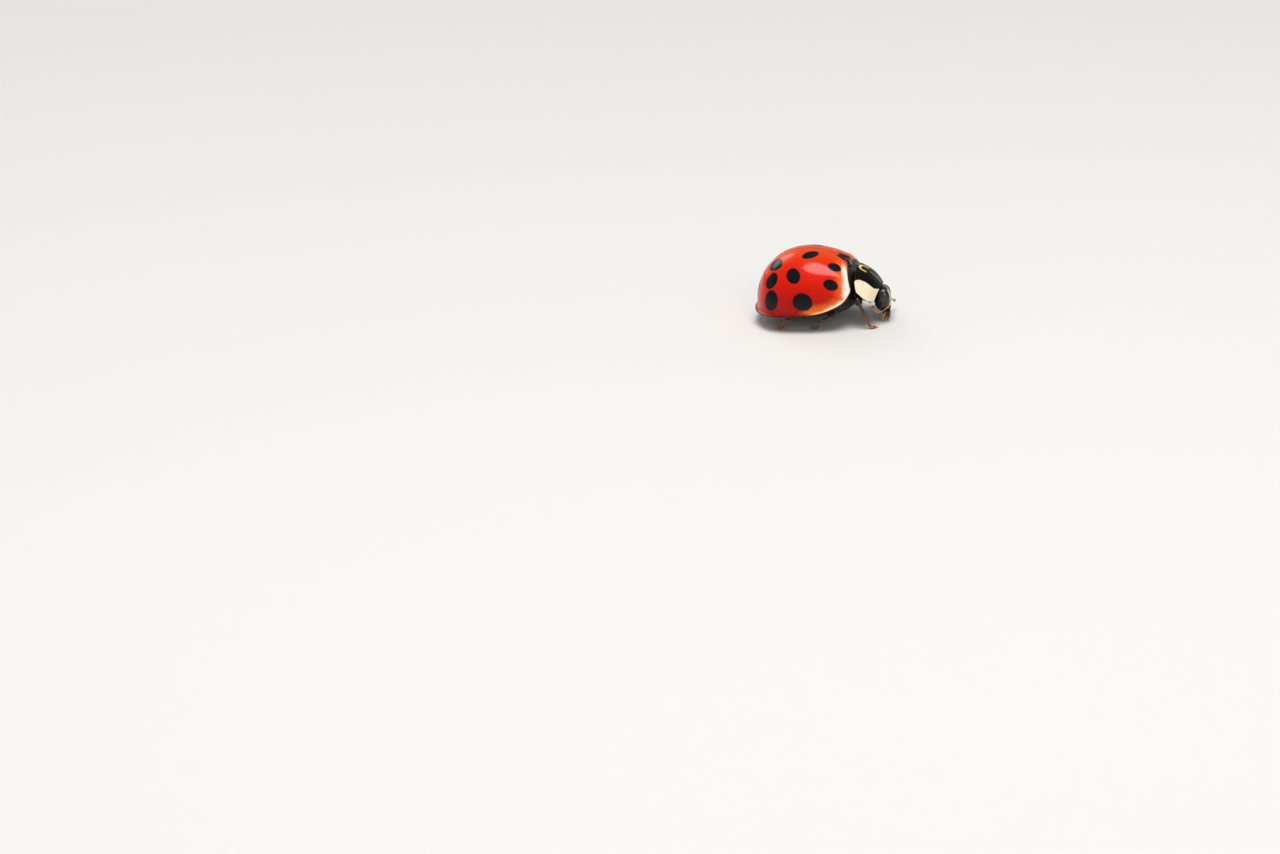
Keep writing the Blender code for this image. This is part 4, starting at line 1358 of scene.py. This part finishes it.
def scattered(rings, count, rng):
    """Places spread evenly over a stack of rings, with the outward normal and the way along it there.

    The last two numbers are the place's share of the way along the stack and round its ring.
    """
    closed = np.concatenate([rings, rings[:, :1]], axis=1)
    corner = closed[:-1, :-1]
    down, across = closed[1:, :-1] - corner, closed[:-1, 1:] - corner
    normal = np.cross(down, across)
    area = np.linalg.norm(normal, axis=-1)
    outward = corner - rings[:-1].mean(axis=1, keepdims=True)
    normal = unit(normal * np.sign((normal * outward).sum(-1, keepdims=True)))
    pick = rng.choice(area.size, count, p=(area / area.sum()).ravel())
    a, b = rng.random((2, count, 1))
    place = corner.reshape(-1, 3)[pick] + a * down.reshape(-1, 3)[pick] + b * across.reshape(-1, 3)[pick]
    row, col = np.divmod(pick, area.shape[1])
    flat = np.stack([(row + a[:, 0]) / area.shape[0], (col + b[:, 0]) / area.shape[1]], -1)
    return place, normal.reshape(-1, 3)[pick], unit(down.reshape(-1, 3)[pick]), flat


ROOTED = 0.01  # depth of the roots


def hairs(place, normal, along, length, lift, thick):
    """Points and faces of tapering three-sided hairs, rooted in the surface and bent over along it."""
    aside = unit(np.cross(normal, along) + 1e-9)
    way = unit(along * (1 - lift) + normal * lift)
    tip_way = unit(along * (1.25 - lift) + normal * lift * 0.6)
    turn = (np.array([0, 2, 4]) * math.pi / 3)[None, :, None]
    ring = np.cos(turn) * aside[:, None] + np.sin(turn) * unit(np.cross(way, aside))[:, None]
    root = place - normal * ROOTED
    middle = root + way * length * 0.5
    tip = middle + tip_way * length * 0.5
    foot_ring, bend_ring = root[:, None] + ring * thick, middle[:, None] + ring * thick * 0.7
    points = np.concatenate([foot_ring, bend_ring, tip[:, None]], axis=1)
    quads = np.array([(0, 1, 4, 3), (1, 2, 5, 4), (2, 0, 3, 5)])
    caps = np.array([(0, 2, 1), (3, 4, 6), (4, 5, 6), (5, 3, 6)])
    start = np.arange(len(place))[:, None, None] * 7
    return points.reshape(-1, 3), (start + quads).reshape(-1, 4), (start + caps).reshape(-1, 3)


PATCH = 0.003  # side of a hair's patch on the bake map
TILE_EDGE = 0.03  # blank edge of a tile
# where a hair's seven points lie in its patch
ON_PATCH = np.array([(0, 0), (1, 0), (0.5, 0.3), (0, 0.6), (1, 0.6), (0.5, 0.8), (0.5, 1)]) * PATCH


def coat(name, stands):
    """One piece from several stands of hairs.

    Its bake map is a square of tiles, one for each stand, and a hair's patch lies where its root does
    on the skin's own rows and rings.
    """
    tiles = math.ceil(math.sqrt(len(stands)))
    points, faces, maps, start = [], [], [], 0
    for k, (place, normal, along, flat, length, lift, thick) in enumerate(stands):
        where, quads, caps = hairs(place, normal, along, length, lift, thick)
        points.append(where)
        faces += (quads + start).tolist() + (caps + start).tolist()
        start += len(where)
        root = (np.array(divmod(k, tiles)) + TILE_EDGE + (1 - 2 * TILE_EDGE) * flat) / tiles
        maps.append((root[:, None, :] + ON_PATCH).reshape(-1, 2))
    where = np.concatenate(points)
    where[:, 2] = np.maximum(where[:, 2], FLOOR)
    mesh = bpy.data.meshes.new(name)
    mesh.from_pydata((where * MM).tolist(), [], faces)
    corners = np.empty(len(mesh.loops), dtype=np.int32)
    mesh.loops.foreach_get("vertex_index", corners)
    layer = mesh.uv_layers.new(name="OFBake")
    layer.data.foreach_set("uv", np.concatenate(maps)[corners].astype(np.float32).ravel())
    shown(name, mesh, HAIR_GOLD)


SEED = 19
STRAY = 0.18  # how unevenly hairs lean,
SPREAD = 0.35  # and how much their lengths differ
# hairs, length, lift from the surface and thickness of each stand
BELLY_STAND = (3600, 0.105, 0.28, 0.0032)
BREAST_STAND = (900, 0.10, 0.32, 0.0032)
HEAD_STAND = (620, 0.05, 0.45, 0.0024)
FEELER_STAND = (70, 0.038, 0.45, 0.0022)
THIGH_STAND = (260, 0.085, 0.30, 0.0030)
SHIN_STAND = (340, 0.095, 0.36, 0.0030)
PAD_STAND = (130, 0.065, 0.5, 0.0028)


def stand_of(rings, sizes, rng, way=None, keep=None):
    """Hairs over a stack of rings, leaning along it.

    way is another way to lean, and keep says from place and normal which of them are kept.
    """
    count, length, lift, thick = sizes
    place, normal, along, flat = scattered(rings, count, rng)
    if way is not None:
        along = unit(np.asarray(way) - normal * (normal @ np.asarray(way))[:, None])
    if keep is not None:
        chosen = keep(place, normal)
        place, normal, along, flat = place[chosen], normal[chosen], along[chosen], flat[chosen]
    along = unit(along + rng.normal(0, STRAY, along.shape))
    size = length * (1 + rng.uniform(-SPREAD, SPREAD, (len(place), 1)))
    return place, normal, along, flat, size, lift, thick


def all_hairs():
    """The three coats, drawn in this order: belly and breast, then head and antennae, then legs."""
    rng = np.random.default_rng(SEED)
    back = (0, 1, 0)
    under = [stand_of(belly_skin, BELLY_STAND, rng, back, lambda place, normal: normal[:, 2] < -0.1),
             stand_of(breast_skin, BREAST_STAND, rng, back, lambda place, normal: normal[:, 2] < 0.2)]
    coat("belly_hairs", under)
    face = [stand_of(head_skin, HEAD_STAND, rng, (0, -0.6, -0.8), lambda place, normal: normal[:, 1] < 0.3)]
    face += [stand_of(rings, FEELER_STAND, rng) for rings in feeler_skins]
    coat("head_hairs", face)
    legs = []
    for upper, lower, pads in leg_skins:
        legs += [stand_of(upper, THIGH_STAND, rng), stand_of(lower, SHIN_STAND, rng)]
        legs += [stand_of(rings, PAD_STAND, rng) for rings in pads]
    coat("leg_hairs", legs)


all_hairs()
